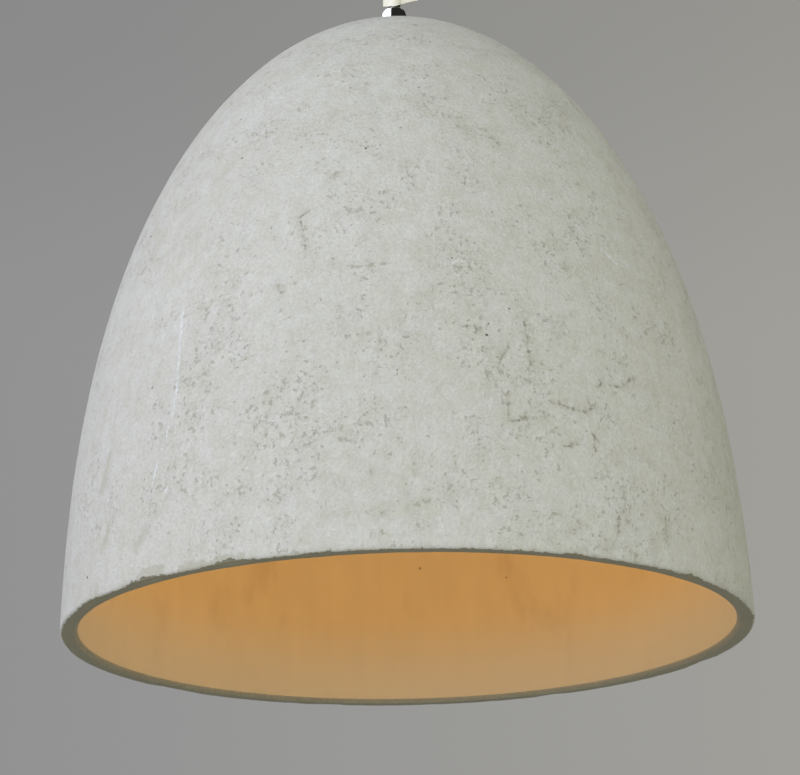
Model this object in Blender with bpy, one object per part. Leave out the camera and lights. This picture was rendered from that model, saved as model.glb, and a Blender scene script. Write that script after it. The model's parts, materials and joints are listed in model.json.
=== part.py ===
"""Pendant ceiling light: a cast concrete dome hung on a short flex from a ceiling rose.

Metres, +Z up. The origin is the middle of the ceiling face of the rose's bracket, so the
light hangs down from z = 0. Every piece is one closed solid, and pieces that touch keep a
gap of GAP, with plain cylinders standing in for machine threads.
"""

import math

import bmesh
import bpy
from mathutils import Matrix, Vector

MM = 0.001
GAP = 0.3 * MM

# Driving dimensions: the dome, and what hangs it
RIM_RADIUS = 175 * MM
DOME_HEIGHT = 355 * MM
DOME_POWER = 2.26  # (r / R)^2 + (z / H)^power = 1
RIM_WALL = 8.75 * MM
CROWN_WALL = 12 * MM
RIM_OUTER_ROUND = 1.2 * MM
RIM_INNER_ROUND = 3 * MM
CROWN_SEAT_RADIUS = 19 * MM
CROWN_INNER_SEAT_RADIUS = 22 * MM
FLEX_RADIUS = 3.5 * MM
FLEX_FREE_LENGTH = 70 * MM
CORE_RADIUS = 1.1 * MM
CORE_CLEARANCE = 0.8 * MM  # between the sheath's cut end and the cores, which leave it at a slant

# Blank paper tag folded round the flex, just above the shade's gland
TAG_LEFT = -8 * MM
TAG_RIGHT = 14 * MM
TAG_LIFT = 1.8 * MM
TAG_HEIGHT = 26 * MM
TAG_HALF_THICKNESS = 0.3 * MM
TAG_CORNER_SLOPE = 0.28

# Threaded M10 tube and the two cable glands on it
TUBE_RADIUS = 5 * MM
TUBE_BORE = FLEX_RADIUS + GAP
TUBE_HOLE = TUBE_RADIUS + GAP
HEX_CORNER_RADIUS = 7.3 * MM
GLAND_HEIGHT = 21 * MM
GLAND_MOUTH = 4.2 * MM
GLAND_SEAL_WALL = 0.8 * MM
TUBE_IN_GLAND = 8 * MM
LOCK_NUT_HEIGHT = 4.5 * MM

# Ceiling rose
ROSE_RADIUS = 50 * MM
ROSE_DEPTH = 30 * MM
ROSE_WALL = 1 * MM
STRAP_WIDTH = 16 * MM
STRAP_THICKNESS = 1.5 * MM
STRAP_TAB_DROP = 14 * MM
ROSE_SCREW_DEPTH = 9 * MM

# Heights, from the ceiling down
ROSE_BOTTOM = -ROSE_DEPTH
SWING_PIVOT = ROSE_BOTTOM - GLAND_HEIGHT
TWIST_PIVOT = SWING_PIVOT - FLEX_FREE_LENGTH / 2
ROCK_PIVOT = SWING_PIVOT - FLEX_FREE_LENGTH
GLAND_SEAT = ROCK_PIVOT - GLAND_HEIGHT
TOP_WASHER_THICKNESS = 2 * MM
GASKET_THICKNESS = 1.5 * MM
CROWN_SEAT = GLAND_SEAT - TOP_WASHER_THICKNESS - GASKET_THICKNESS - 3 * GAP


def dome_height_at(radius, rim_radius, height):
    """Height above the rim at which the dome's curve has this radius."""
    return height * (1 - (radius / rim_radius) ** 2) ** (1 / DOME_POWER)


RIM_Z = CROWN_SEAT - dome_height_at(CROWN_SEAT_RADIUS, RIM_RADIUS, DOME_HEIGHT)
INNER_RIM_RADIUS = RIM_RADIUS - RIM_WALL
INNER_HEIGHT = DOME_HEIGHT - CROWN_WALL
INNER_SEAT = RIM_Z + dome_height_at(CROWN_INNER_SEAT_RADIUS, INNER_RIM_RADIUS, INNER_HEIGHT)

# Lampholder and bulb, measured down from the crown's inner seat
BOTTOM_WASHER_THICKNESS = 2 * MM
HOLDER_TOP = INNER_SEAT - 13 * MM
HOLDER_RADIUS = 21 * MM
HOLDER_WALL = 1.8 * MM
CAP_HEIGHT = 31 * MM
CAP_COLLAR_HEIGHT = 12 * MM
CAP_COLLAR_RADIUS = 8 * MM
BARREL_HEIGHT = 36 * MM
INSERT_TOP = HOLDER_TOP - 24.5 * MM
INSERT_HEIGHT = 14 * MM
INSERT_RADIUS = 18.7 * MM
TERMINAL_OFFSET = 11 * MM
SHELL_TOP = INSERT_TOP - INSERT_HEIGHT - GAP
SHELL_LENGTH = 24 * MM
SHELL_INNER_RADIUS = 13.8 * MM
THREAD_PITCH = 3.63 * MM
THREAD_DEPTH = 0.9 * MM
EARTH_SCREW_Z = HOLDER_TOP - 21.5 * MM
CONTACT_PIVOT_X = 10 * MM
CONTACT_Z = SHELL_TOP - 1.2 * MM
BULB_TOP = CONTACT_Z - 1.4 * MM - GAP
BULB_LENGTH = 78 * MM
BULB_RADIUS = 22.5 * MM
BULB_CAP_RADIUS = 13.1 * MM
BULB_CAP_TOP = BULB_TOP - 3.5 * MM
BULB_CAP_LENGTH = 23.5 * MM
GLASS_WALL = 0.8 * MM
FILAMENT_RADIUS = 0.5 * MM
STEM_LENGTH = 17 * MM

MATERIALS = {
    # name: (red, green, blue, roughness, metallic)
    "concrete": (0.52, 0.53, 0.49, 0.9, 0.0),
    "chrome": (0.75, 0.76, 0.78, 0.08, 1.0),
    "zinc_steel": (0.62, 0.63, 0.62, 0.35, 1.0),
    "brass": (0.75, 0.58, 0.28, 0.25, 1.0),
    "black_rubber": (0.02, 0.02, 0.02, 0.7, 0.0),
    "black_sheath": (0.015, 0.015, 0.017, 0.55, 0.0),
    "white_plastic": (0.8, 0.8, 0.76, 0.4, 0.0),
    "brown_core": (0.16, 0.06, 0.03, 0.45, 0.0),
    "blue_core": (0.03, 0.14, 0.5, 0.45, 0.0),
    "earth_core": (0.25, 0.45, 0.06, 0.45, 0.0),
    "porcelain": (0.82, 0.8, 0.74, 0.3, 0.0),
    "bulb_glass": (0.9, 0.92, 0.92, 0.05, 0.0),
    "black_glass": (0.02, 0.02, 0.025, 0.15, 0.0),
    "tag_paper": (0.86, 0.85, 0.79, 0.8, 0.0),
    "tungsten": (0.35, 0.33, 0.3, 0.4, 1.0),
}


# ---------------------------------------------------------------- tools

def clear_scene():
    for obj in list(bpy.data.objects):
        bpy.data.objects.remove(obj)


def material(name):
    found = bpy.data.materials.get(name)
    if found:
        return found
    red, green, blue, roughness, metallic = MATERIALS[name]
    made = bpy.data.materials.new(name)
    made.use_nodes = True
    shader = made.node_tree.nodes["Principled BSDF"]
    shader.inputs["Base Color"].default_value = (red, green, blue, 1)
    shader.inputs["Roughness"].default_value = roughness
    shader.inputs["Metallic"].default_value = metallic
    return made


def pivot(name, height, parent=None, x=0.0):
    """An empty on a joint's axis. The pieces of the body that turns there are its children."""
    empty = bpy.data.objects.new(name, None)
    bpy.context.scene.collection.objects.link(empty)
    empty["world"] = (x, 0.0, height)
    attach(empty, parent, (x, 0.0, height))
    return empty


def attach(obj, parent, world):
    """Parent obj and put its origin at a world position."""
    obj.parent = parent
    base = Vector(parent["world"]) if parent else Vector((0, 0, 0))
    obj.location = Vector(world) - base


def add_object(name, mesh, slot, parent, world):
    obj = bpy.data.objects.new(name, mesh)
    bpy.context.scene.collection.objects.link(obj)
    obj.data.materials.append(material(slot))
    attach(obj, parent, world)
    return obj


def finish_mesh(name, shape, sharp_degrees=35):
    bmesh.ops.recalc_face_normals(shape, faces=shape.faces)
    mesh = bpy.data.meshes.new(name)
    shape.to_mesh(mesh)
    shape.free()
    mesh.shade_smooth()
    mesh.set_sharp_from_angle(angle=math.radians(sharp_degrees))
    return mesh


def turned_mesh(name, outline, segments):
    """A solid of revolution about Z. The outline is (radius, height) points: an open chain that
    starts and ends on the axis, or a closed loop that stays clear of it."""
    shape = bmesh.new()
    verts = [shape.verts.new((r, 0, z)) for r, z in outline]
    edges = [shape.edges.new(pair) for pair in zip(verts, verts[1:])]
    if outline[0][0] > 0:
        edges.append(shape.edges.new((verts[-1], verts[0])))
    bmesh.ops.spin(
        shape, geom=verts + edges, cent=(0, 0, 0), axis=(0, 0, 1),
        angle=2 * math.pi, steps=segments, use_merge=True,
    )
    bmesh.ops.remove_doubles(shape, verts=shape.verts, dist=1e-6)
    return finish_mesh(name, shape)


def turned(name, outline, slot, parent, height, segments=32, x=0.0, y=0.0):
    mesh = turned_mesh(name, outline, segments)
    return add_object(name, mesh, slot, parent, (x, y, height))


def ring_outline(inner, outer, low, high):
    return [(inner, low), (outer, low), (outer, high), (inner, high)]


def block_mesh(name, low, high, bevel=0.0):
    shape = bmesh.new()
    bmesh.ops.create_cube(shape, size=1)
    low, high = Vector(low), Vector(high)
    size = high - low
    bmesh.ops.transform(
        shape, verts=shape.verts,
        matrix=Matrix.Translation((low + high) / 2) @ Matrix.Diagonal((*size, 1)),
    )
    if bevel:
        bmesh.ops.bevel(
            shape, geom=list(shape.edges), offset=bevel, segments=1, affect="EDGES"
        )
    return finish_mesh(name, shape)


def extruded_mesh(name, outline, low, high, axis="Y"):
    """A closed outline, pushed along Y (outline is x, z) or along Z (outline is x, y)."""
    shape = bmesh.new()
    if axis == "Y":
        verts = [shape.verts.new((a, low, b)) for a, b in outline]
        step = Vector((0, high - low, 0))
    else:
        verts = [shape.verts.new((a, b, low)) for a, b in outline]
        step = Vector((0, 0, high - low))
    face = shape.faces.new(verts)
    pushed = bmesh.ops.extrude_face_region(shape, geom=[face])["geom"]
    moved = [v for v in pushed if isinstance(v, bmesh.types.BMVert)]
    bmesh.ops.translate(shape, verts=moved, vec=step)
    return finish_mesh(name, shape)


def rod_mesh(name, radius, length, axis, segments=16):
    """A plain cylinder centred on its origin, lying along an axis."""
    turns = {
        "X": Matrix.Rotation(math.pi / 2, 4, "Y"),
        "Y": Matrix.Rotation(math.pi / 2, 4, "X"),
        "Z": Matrix.Identity(4),
    }
    shape = bmesh.new()
    bmesh.ops.create_cone(
        shape, cap_ends=True, segments=segments, radius1=radius, radius2=radius,
        depth=length, matrix=turns[axis],
    )
    return finish_mesh(name, shape)


def cutter(mesh, world, owner, operation="DIFFERENCE"):
    """A hidden helper that cuts, or trims, its owner."""
    tool = bpy.data.objects.new(mesh.name, mesh)
    bpy.context.scene.collection.objects.link(tool)
    tool.location = world
    tool.hide_render = True
    tool.display_type = "WIRE"
    step = owner.modifiers.new(mesh.name, "BOOLEAN")
    step.operation = operation
    step.object = tool
    return tool


def hexagonal(name, outline, corner_radius, slot, parent, height, segments=18):
    """A turned blank trimmed by a hexagonal bar, which leaves the curved edges of a real nut."""
    nut = turned(name, outline, slot, parent, height, segments)
    heights = [z for _, z in outline]
    low, high = min(heights) - 1 * MM, max(heights) + 1 * MM
    corners = [
        (corner_radius * math.cos(math.radians(a)), corner_radius * math.sin(math.radians(a)))
        for a in range(0, 360, 60)
    ]
    bar = extruded_mesh(name + "_bar", corners, low, high, "Z")
    cutter(bar, (0, 0, height), nut, "INTERSECT")
    return nut


def arc(cx, cz, radius, start, end, steps):
    """Points (x, z) along an arc, with angles in degrees."""
    found = []
    for i in range(steps + 1):
        a = math.radians(start + (end - start) * i / steps)
        found.append((cx + radius * math.cos(a), cz + radius * math.sin(a)))
    return found


def smooth_route(points, per_span):
    """Points read from a Catmull-Rom curve through the route's own points."""
    route = [Vector(p) for p in points]
    padded = [2 * route[0] - route[1]] + route + [2 * route[-1] - route[-2]]
    found = []
    for before, a, b, after in zip(padded, padded[1:], padded[2:], padded[3:]):
        for i in range(per_span):
            t = i / per_span
            found.append(
                0.5 * (2 * a + (b - before) * t + (2 * before - 5 * a + 4 * b - after) * t * t
                       + (3 * a - before - 3 * b + after) * t ** 3)
            )
    return found + [route[-1]]


def wire(name, points, radius, slot, parent, radii=None):
    """A cord or a core: a curve with a round bevel and filled caps. The points are world points,
    and radii are shares of the radius at each."""
    curve = bpy.data.curves.new(name, "CURVE")
    curve.dimensions = "3D"
    curve.bevel_depth = radius
    curve.bevel_resolution = 2
    curve.use_fill_caps = True
    spline = curve.splines.new("POLY")
    spline.points.add(len(points) - 1)
    base = Vector(parent["world"])
    for i, place in enumerate(points):
        spline.points[i].co = (*(Vector(place) - base), 1)
        spline.points[i].radius = radii[i] if radii else 1.0
    obj = bpy.data.objects.new(name, curve)
    bpy.context.scene.collection.objects.link(obj)
    curve.materials.append(material(slot))
    obj.parent = parent
    return obj


# ---------------------------------------------------------------- sub-parts

def screw(name, parent, world, facing, head_radius, head_height, shank_radius, shank_length,
          slot="zinc_steel"):
    """A slotted pan-head screw. Its head's underside is at world, and the head faces `facing`."""
    outline = [
        (0, head_height),
        (0.75 * head_radius, head_height),
        (head_radius, 0.55 * head_height),
        (head_radius, 0),
        (shank_radius, 0),
        (shank_radius, -shank_length),
        (0, -shank_length),
    ]
    turn = Vector((0, 0, 1)).rotation_difference(Vector(facing)).to_matrix().to_4x4()
    body = turned_mesh(name, outline, 8)
    body.transform(turn)
    obj = add_object(name, body, slot, parent, world)
    depth = 0.55 * head_height
    width = 0.22 * head_radius
    groove = block_mesh(
        name + "_slot",
        (-1.2 * head_radius, -width, head_height - depth),
        (1.2 * head_radius, width, head_height + 1 * MM),
    )
    groove.transform(turn)
    cutter(groove, world, obj)
    return obj


def cable_gland(prefix, seat, pointing, parent):
    """Gland body, rubber seal and hexagonal dome nut. `pointing` is +1 where the mouth is above
    the seat, or -1 where it hangs below."""
    def aimed(outline):
        return [(r, pointing * z) for r, z in outline]

    flange_top = 8.5 * MM
    collet_top = 16 * MM
    nut_roof = collet_top + 2 * GAP
    body = [
        (TUBE_HOLE, GAP),
        (HEX_CORNER_RADIUS - 0.8 * MM, GAP),
        (HEX_CORNER_RADIUS, 1 * MM),
        (HEX_CORNER_RADIUS, flange_top - 0.7 * MM),
        (HEX_CORNER_RADIUS - 0.8 * MM, flange_top),
        (5.5 * MM, flange_top),
        (5.5 * MM, collet_top),
        (FLEX_RADIUS + GAP + GLAND_SEAL_WALL + GAP, collet_top),
        (FLEX_RADIUS + GAP + GLAND_SEAL_WALL + GAP, 10.5 * MM),
        (TUBE_BORE, 10.5 * MM),
        (TUBE_BORE, TUBE_IN_GLAND + 2 * GAP),
        (TUBE_HOLE, TUBE_IN_GLAND + 2 * GAP),
    ]
    hexagonal(prefix + "_gland_body", aimed(body), HEX_CORNER_RADIUS, "chrome", parent, seat)
    seal = ring_outline(
        FLEX_RADIUS + GAP, FLEX_RADIUS + GAP + GLAND_SEAL_WALL, 10.5 * MM + GAP, collet_top
    )
    turned(prefix + "_gland_seal", aimed(seal), "black_rubber", parent, seat, 20)
    shoulder = 4.2 * MM
    rounded = arc(
        HEX_CORNER_RADIUS - shoulder, GLAND_HEIGHT - shoulder, shoulder, 0, 62, 5
    )
    nut = [
        (5.8 * MM, flange_top + GAP),
        (HEX_CORNER_RADIUS - 0.8 * MM, flange_top + GAP),
        (HEX_CORNER_RADIUS, flange_top + 1 * MM),
        *rounded,
        (GLAND_MOUTH, GLAND_HEIGHT),
        (GLAND_MOUTH, nut_roof),
        (5.8 * MM, nut_roof),
    ]
    hexagonal(prefix + "_gland_dome_nut", aimed(nut), HEX_CORNER_RADIUS, "chrome", parent, seat)


def lock_nut(name, parent, top):
    outline = [
        (TUBE_HOLE, 0),
        (HEX_CORNER_RADIUS, 0),
        (HEX_CORNER_RADIUS + 0.9 * MM, -0.6 * MM),
        (HEX_CORNER_RADIUS + 0.9 * MM, 0.6 * MM - LOCK_NUT_HEIGHT),
        (HEX_CORNER_RADIUS, -LOCK_NUT_HEIGHT),
        (TUBE_HOLE, -LOCK_NUT_HEIGHT),
    ]
    return hexagonal(name, outline, HEX_CORNER_RADIUS + 0.9 * MM, "zinc_steel", parent, top)


def ceiling_bracket(parent):
    """A zinc-plated strap with a slot each side for the ceiling screws and two drilled tabs."""
    half = 46.4 * MM
    t = STRAP_THICKNESS
    outline = [
        (-half, 0), (half, 0), (half, -STRAP_TAB_DROP),
        (half - t, -STRAP_TAB_DROP), (half - t, -t),
        (t - half, -t), (t - half, -STRAP_TAB_DROP), (-half, -STRAP_TAB_DROP),
    ]
    mesh = extruded_mesh("ceiling_bracket", outline, -STRAP_WIDTH / 2, STRAP_WIDTH / 2)
    strap = add_object("ceiling_bracket", mesh, "zinc_steel", parent, (0, 0, 0))
    slot_radius = 2.4 * MM
    slot_half = 5 * MM
    for side in (-1, 1):
        right = arc(slot_half, 0, slot_radius, -90, 90, 6)
        left = arc(-slot_half, 0, slot_radius, 90, 270, 6)
        hole = extruded_mesh(f"ceiling_slot_{side}", right + left, -5 * MM, 5 * MM, "Z")
        cutter(hole, (side * 33 * MM, 0, 0), strap)
        drilled = rod_mesh(f"tab_hole_{side}", 2 * MM + GAP, 10 * MM, "X", 12)
        cutter(drilled, (side * half, 0, -ROSE_SCREW_DEPTH), strap)
    earth_hole = rod_mesh("bracket_earth_hole", 1.5 * MM + GAP, 10 * MM, "Z", 12)
    cutter(earth_hole, (EARTH_X, 0, 0), strap)
    return strap


def ceiling_rose(parent):
    """A spun cup, open at the ceiling, with its two side screws."""
    r, corner = ROSE_RADIUS, 4 * MM
    outline = [
        (TUBE_HOLE, ROSE_BOTTOM),
        *arc(r - corner, ROSE_BOTTOM + corner, corner, -90, 0, 5),
        (r, -GAP),
        (r - ROSE_WALL, -GAP),
        *arc(r - corner, ROSE_BOTTOM + corner, corner - ROSE_WALL, 0, -90, 4),
        (TUBE_HOLE, ROSE_BOTTOM + ROSE_WALL),
    ]
    cup = turned("rose_cup", outline, "chrome", parent, 0, 36)
    for side, word in ((-1, "left"), (1, "right")):
        hole = rod_mesh(f"rose_hole_{word}", 2 * MM + GAP, 12 * MM, "X", 12)
        cutter(hole, (side * r, 0, -ROSE_SCREW_DEPTH), cup)
        screw(
            f"rose_screw_{word}", parent, (side * (r + GAP), 0, -ROSE_SCREW_DEPTH),
            (side, 0, 0), 3.6 * MM, 2.2 * MM, 2 * MM, 8 * MM, "chrome",
        )


POLE_SPACING = 9.5 * MM
BLOCK_HALF_DEPTH = 9 * MM
BLOCK_TOP = -STRAP_THICKNESS - GAP
BLOCK_HEIGHT = 12 * MM
EARTH_X = 20 * MM
CLAMP_Z = BLOCK_TOP - 5 * MM
POLE_NAMES = ("neutral", "earth", "live")


def terminal_block(parent):
    """A three-pole screw terminal: housing, a brass clamp for each pole, and two screws each."""
    half = 1.5 * POLE_SPACING + 0.5 * MM
    mesh = block_mesh(
        "terminal_block",
        (-half, -BLOCK_HALF_DEPTH, BLOCK_TOP - BLOCK_HEIGHT),
        (half, BLOCK_HALF_DEPTH, BLOCK_TOP), 0.6 * MM,
    )
    housing = add_object("terminal_block", mesh, "white_plastic", parent, (0, 0, 0))
    bore, clamp_radius, screw_radius = 1.6 * MM, 2.8 * MM, 1.3 * MM
    for index, pole in enumerate(POLE_NAMES):
        x = (index - 1) * POLE_SPACING
        channel = rod_mesh(f"channel_{pole}", clamp_radius + GAP, 30 * MM, "Y", 12)
        cutter(channel, (x, 0, CLAMP_Z), housing)
        tube = bmesh.new()
        verts = [tube.verts.new((r, 0, y)) for r, y in
                 ring_outline(bore, clamp_radius, -7.5 * MM, 7.5 * MM)]
        edges = [tube.edges.new(pair) for pair in zip(verts, verts[1:] + verts[:1])]
        bmesh.ops.spin(tube, geom=verts + edges, cent=(0, 0, 0), axis=(0, 0, 1),
                       angle=2 * math.pi, steps=12, use_merge=True)
        bmesh.ops.rotate(tube, verts=tube.verts, matrix=Matrix.Rotation(math.pi / 2, 3, "X"))
        clamp = add_object(
            f"terminal_clamp_{pole}", finish_mesh("terminal_clamp", tube), "brass", parent,
            (x, 0, CLAMP_Z),
        )
        for end, side in (("supply", 1), ("lamp", -1)):
            place = (x, side * 4.5 * MM, 0)
            well = rod_mesh(f"well_{pole}_{end}", 1.9 * MM + GAP, 20 * MM, "Z", 10)
            cutter(well, (*place[:2], CLAMP_Z - 10 * MM), housing)
            tapped = rod_mesh(f"tapped_{pole}_{end}", screw_radius + GAP, 4 * MM, "Z", 10)
            cutter(tapped, (*place[:2], CLAMP_Z - 3 * MM), clamp)
            screw(
                f"terminal_screw_{pole}_{end}", parent,
                (*place[:2], CLAMP_Z - clamp_radius - 2.5 * MM),
                (0, 0, -1), 1.9 * MM, 1.4 * MM, screw_radius, 3.9 * MM,
            )


def rose_wiring(parent):
    """The flex's end inside the rose, its three cores, and the earth lead to the bracket."""
    sheath_end = ROSE_BOTTOM + 9 * MM
    below = SWING_PIVOT + FLEX_RADIUS + 2 * GAP
    wire("flex_in_rose", [(0, 0, below), (0, 0, ROSE_BOTTOM - 4 * MM), (0, 0, sheath_end)],
         FLEX_RADIUS, "black_sheath", parent)
    colours = {"neutral": "blue_core", "earth": "earth_core", "live": "brown_core"}
    fan = {"neutral": (-2.2, 0.9), "earth": (0, -1.8), "live": (2.2, 0.9)}
    for index, pole in enumerate(POLE_NAMES):
        x = (index - 1) * POLE_SPACING
        fx, fy = (v * MM for v in fan[pole])
        start = sheath_end + CORE_CLEARANCE
        route = [
            (fx, fy, start),
            (fx, fy, start + 0.8 * MM),
            (fx * 1.4, fy - 3 * MM, start + 2.4 * MM),
            (0.6 * x + 0.4 * fx, -8 * MM, start + 3 * MM),
            (0.9 * x, -14 * MM, start + 4.5 * MM),
            (x, -17.5 * MM, start + 9 * MM),
            (x, -14.5 * MM, CLAMP_Z - 0.7 * MM),
            (x, -10.5 * MM, CLAMP_Z),
            (x, -2.5 * MM, CLAMP_Z),
        ]
        wire(f"core_{pole}_rose", smooth_route(route, 2), CORE_RADIUS, colours[pole], parent)
    lead = [
        (0, 2.2 * MM, CLAMP_Z),
        (0, 11 * MM, CLAMP_Z),
        (3 * MM, 16.5 * MM, CLAMP_Z - 1 * MM),
        (11 * MM, 17 * MM, CLAMP_Z),
        (18.5 * MM, 12 * MM, CLAMP_Z + 1 * MM),
        (EARTH_X, 6.5 * MM, -STRAP_THICKNESS - 1.7 * MM),
        (EARTH_X, 3.2 * MM, -STRAP_THICKNESS - 1.5 * MM),
    ]
    wire("earth_lead", smooth_route(lead, 2), CORE_RADIUS, "earth_core", parent)
    screw("earth_screw", parent, (EARTH_X, 0, -STRAP_THICKNESS - GAP), (0, 0, -1),
          2.8 * MM, 1.8 * MM, 1.5 * MM, STRAP_THICKNESS, "brass")


def hanging_flex(upper, lower):
    """The free flex in two lengths, which twist on each other. Their outer ends are round about
    the pivots, so they turn in the glands' mouths."""
    shares = [(-1.0, 0.08), (-0.92, 0.39), (-0.71, 0.71), (-0.38, 0.925), (0.0, 1.0)]
    step = FLEX_FREE_LENGTH / 8
    for name, parent, start, sign in (
        ("flex_upper", upper, SWING_PIVOT, -1),
        ("flex_lower", lower, ROCK_PIVOT, 1),
    ):
        points = [(0, 0, start + sign * share * FLEX_RADIUS) for share, _ in shares]
        radii = [r for _, r in shares]
        for i in range(1, 5):
            back = GAP / 2 if i == 4 else 0
            points.append((0, 0, start + sign * (i * step - back)))
            radii.append(1.0)
        wire(name, points, FLEX_RADIUS, "black_sheath", parent, radii)


def flex_tag(parent):
    """A folded paper tag: a wing each side of a sleeve, with one lower corner cut away."""
    sleeve_radius = FLEX_RADIUS + GAP + 2 * TAG_HALF_THICKNESS
    lean = math.degrees(math.asin(TAG_HALF_THICKNESS / sleeve_radius))
    outline = [
        (TAG_LEFT, -TAG_HALF_THICKNESS),
        *arc(0, 0, sleeve_radius, 180 + lean, 360 - lean, 6),
        (TAG_RIGHT, -TAG_HALF_THICKNESS),
        (TAG_RIGHT, TAG_HALF_THICKNESS),
        *arc(0, 0, sleeve_radius, lean, 180 - lean, 6),
        (TAG_LEFT, TAG_HALF_THICKNESS),
    ]
    mesh = extruded_mesh("flex_tag", outline, 0, TAG_HEIGHT, "Z")
    for vertex in mesh.vertices:
        if vertex.co.z < TAG_HEIGHT / 2:
            vertex.co.z = TAG_CORNER_SLOPE * max(0, vertex.co.x)
    tag = add_object("flex_tag", mesh, "tag_paper", parent, (0, 0, ROCK_PIVOT + TAG_LIFT))
    opening = rod_mesh("tag_opening", FLEX_RADIUS + GAP, 3 * TAG_HEIGHT, "Z", 16)
    cutter(opening, (0, 0, ROCK_PIVOT + TAG_LIFT), tag)


def dome_curve(rim_radius, height, stop_radius, steps):
    """(radius, height above the rim) from the rim up to stop_radius, evenly in angle."""
    last = math.acos(stop_radius / rim_radius)
    found = []
    for i in range(steps + 1):
        a = last * i / steps
        found.append((rim_radius * math.cos(a), height * math.sin(a) ** (2 / DOME_POWER)))
    return found


def shade(parent):
    """The cast dome: an outer and an inner curve, a flat seat at each side of the crown, a drilled
    hole, and a rim that is rounded a little outside and more inside."""
    outer = dome_curve(RIM_RADIUS, DOME_HEIGHT, CROWN_SEAT_RADIUS, 12)
    inner = dome_curve(INNER_RIM_RADIUS, INNER_HEIGHT, CROWN_INNER_SEAT_RADIUS, 10)
    base = RIM_Z - ROCK_PIVOT
    low_outer = arc(RIM_RADIUS - RIM_OUTER_ROUND, RIM_OUTER_ROUND, RIM_OUTER_ROUND, -90, 0, 2)
    low_inner = arc(
        INNER_RIM_RADIUS + RIM_INNER_ROUND, RIM_INNER_ROUND, RIM_INNER_ROUND, 180, 270, 3
    )
    outline = low_outer + [p for p in outer if p[1] > 2 * RIM_OUTER_ROUND]
    outline += [(TUBE_HOLE + GAP, outer[-1][1]), (TUBE_HOLE + GAP, inner[-1][1])]
    outline += [p for p in reversed(inner) if p[1] > 2 * RIM_INNER_ROUND] + low_inner
    outline = [(r, z + base) for r, z in outline]
    return turned("shade", outline, "concrete", parent, ROCK_PIVOT, 48)


def shade_fixings(parent):
    """Gaskets, washers, lock nut and the threaded tube that clamp the crown."""
    top = GLAND_SEAT - GAP
    washer = ring_outline(TUBE_HOLE, 17 * MM, -TOP_WASHER_THICKNESS, -0.8 * MM)
    washer[2:3] = [(17 * MM, -0.8 * MM), (16 * MM, 0)]
    washer[-1] = (TUBE_HOLE, 0)
    turned("top_washer", washer, "chrome", parent, top, 32)
    turned("top_gasket", ring_outline(TUBE_HOLE, 16.5 * MM, -GASKET_THICKNESS, 0),
           "black_rubber", parent, top - TOP_WASHER_THICKNESS - GAP, 28)
    turned("bottom_gasket", ring_outline(TUBE_HOLE, 19.5 * MM, -GASKET_THICKNESS, 0),
           "black_rubber", parent, INNER_SEAT - GAP, 28)
    turned("bottom_washer", ring_outline(TUBE_HOLE, 20 * MM, -BOTTOM_WASHER_THICKNESS, 0),
           "zinc_steel", parent, INNER_SEAT - GASKET_THICKNESS - 2 * GAP, 32)
    lock_nut("shade_lock_nut", parent,
             INNER_SEAT - GASKET_THICKNESS - BOTTOM_WASHER_THICKNESS - 3 * GAP)
    top_end = GLAND_SEAT + TUBE_IN_GLAND
    bottom_end = HOLDER_TOP - CAP_COLLAR_HEIGHT + 1 * MM
    turned("threaded_tube", ring_outline(TUBE_BORE, TUBE_RADIUS, bottom_end - top_end, 0),
           "zinc_steel", parent, top_end, 24)
    wire("flex_tail", [(0, 0, ROCK_PIVOT - FLEX_RADIUS - 2 * GAP), (0, 0, GLAND_SEAT),
                       (0, 0, INNER_SEAT), (0, 0, bottom_end - 1 * MM)],
         FLEX_RADIUS, "black_sheath", parent)
    return bottom_end


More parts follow.
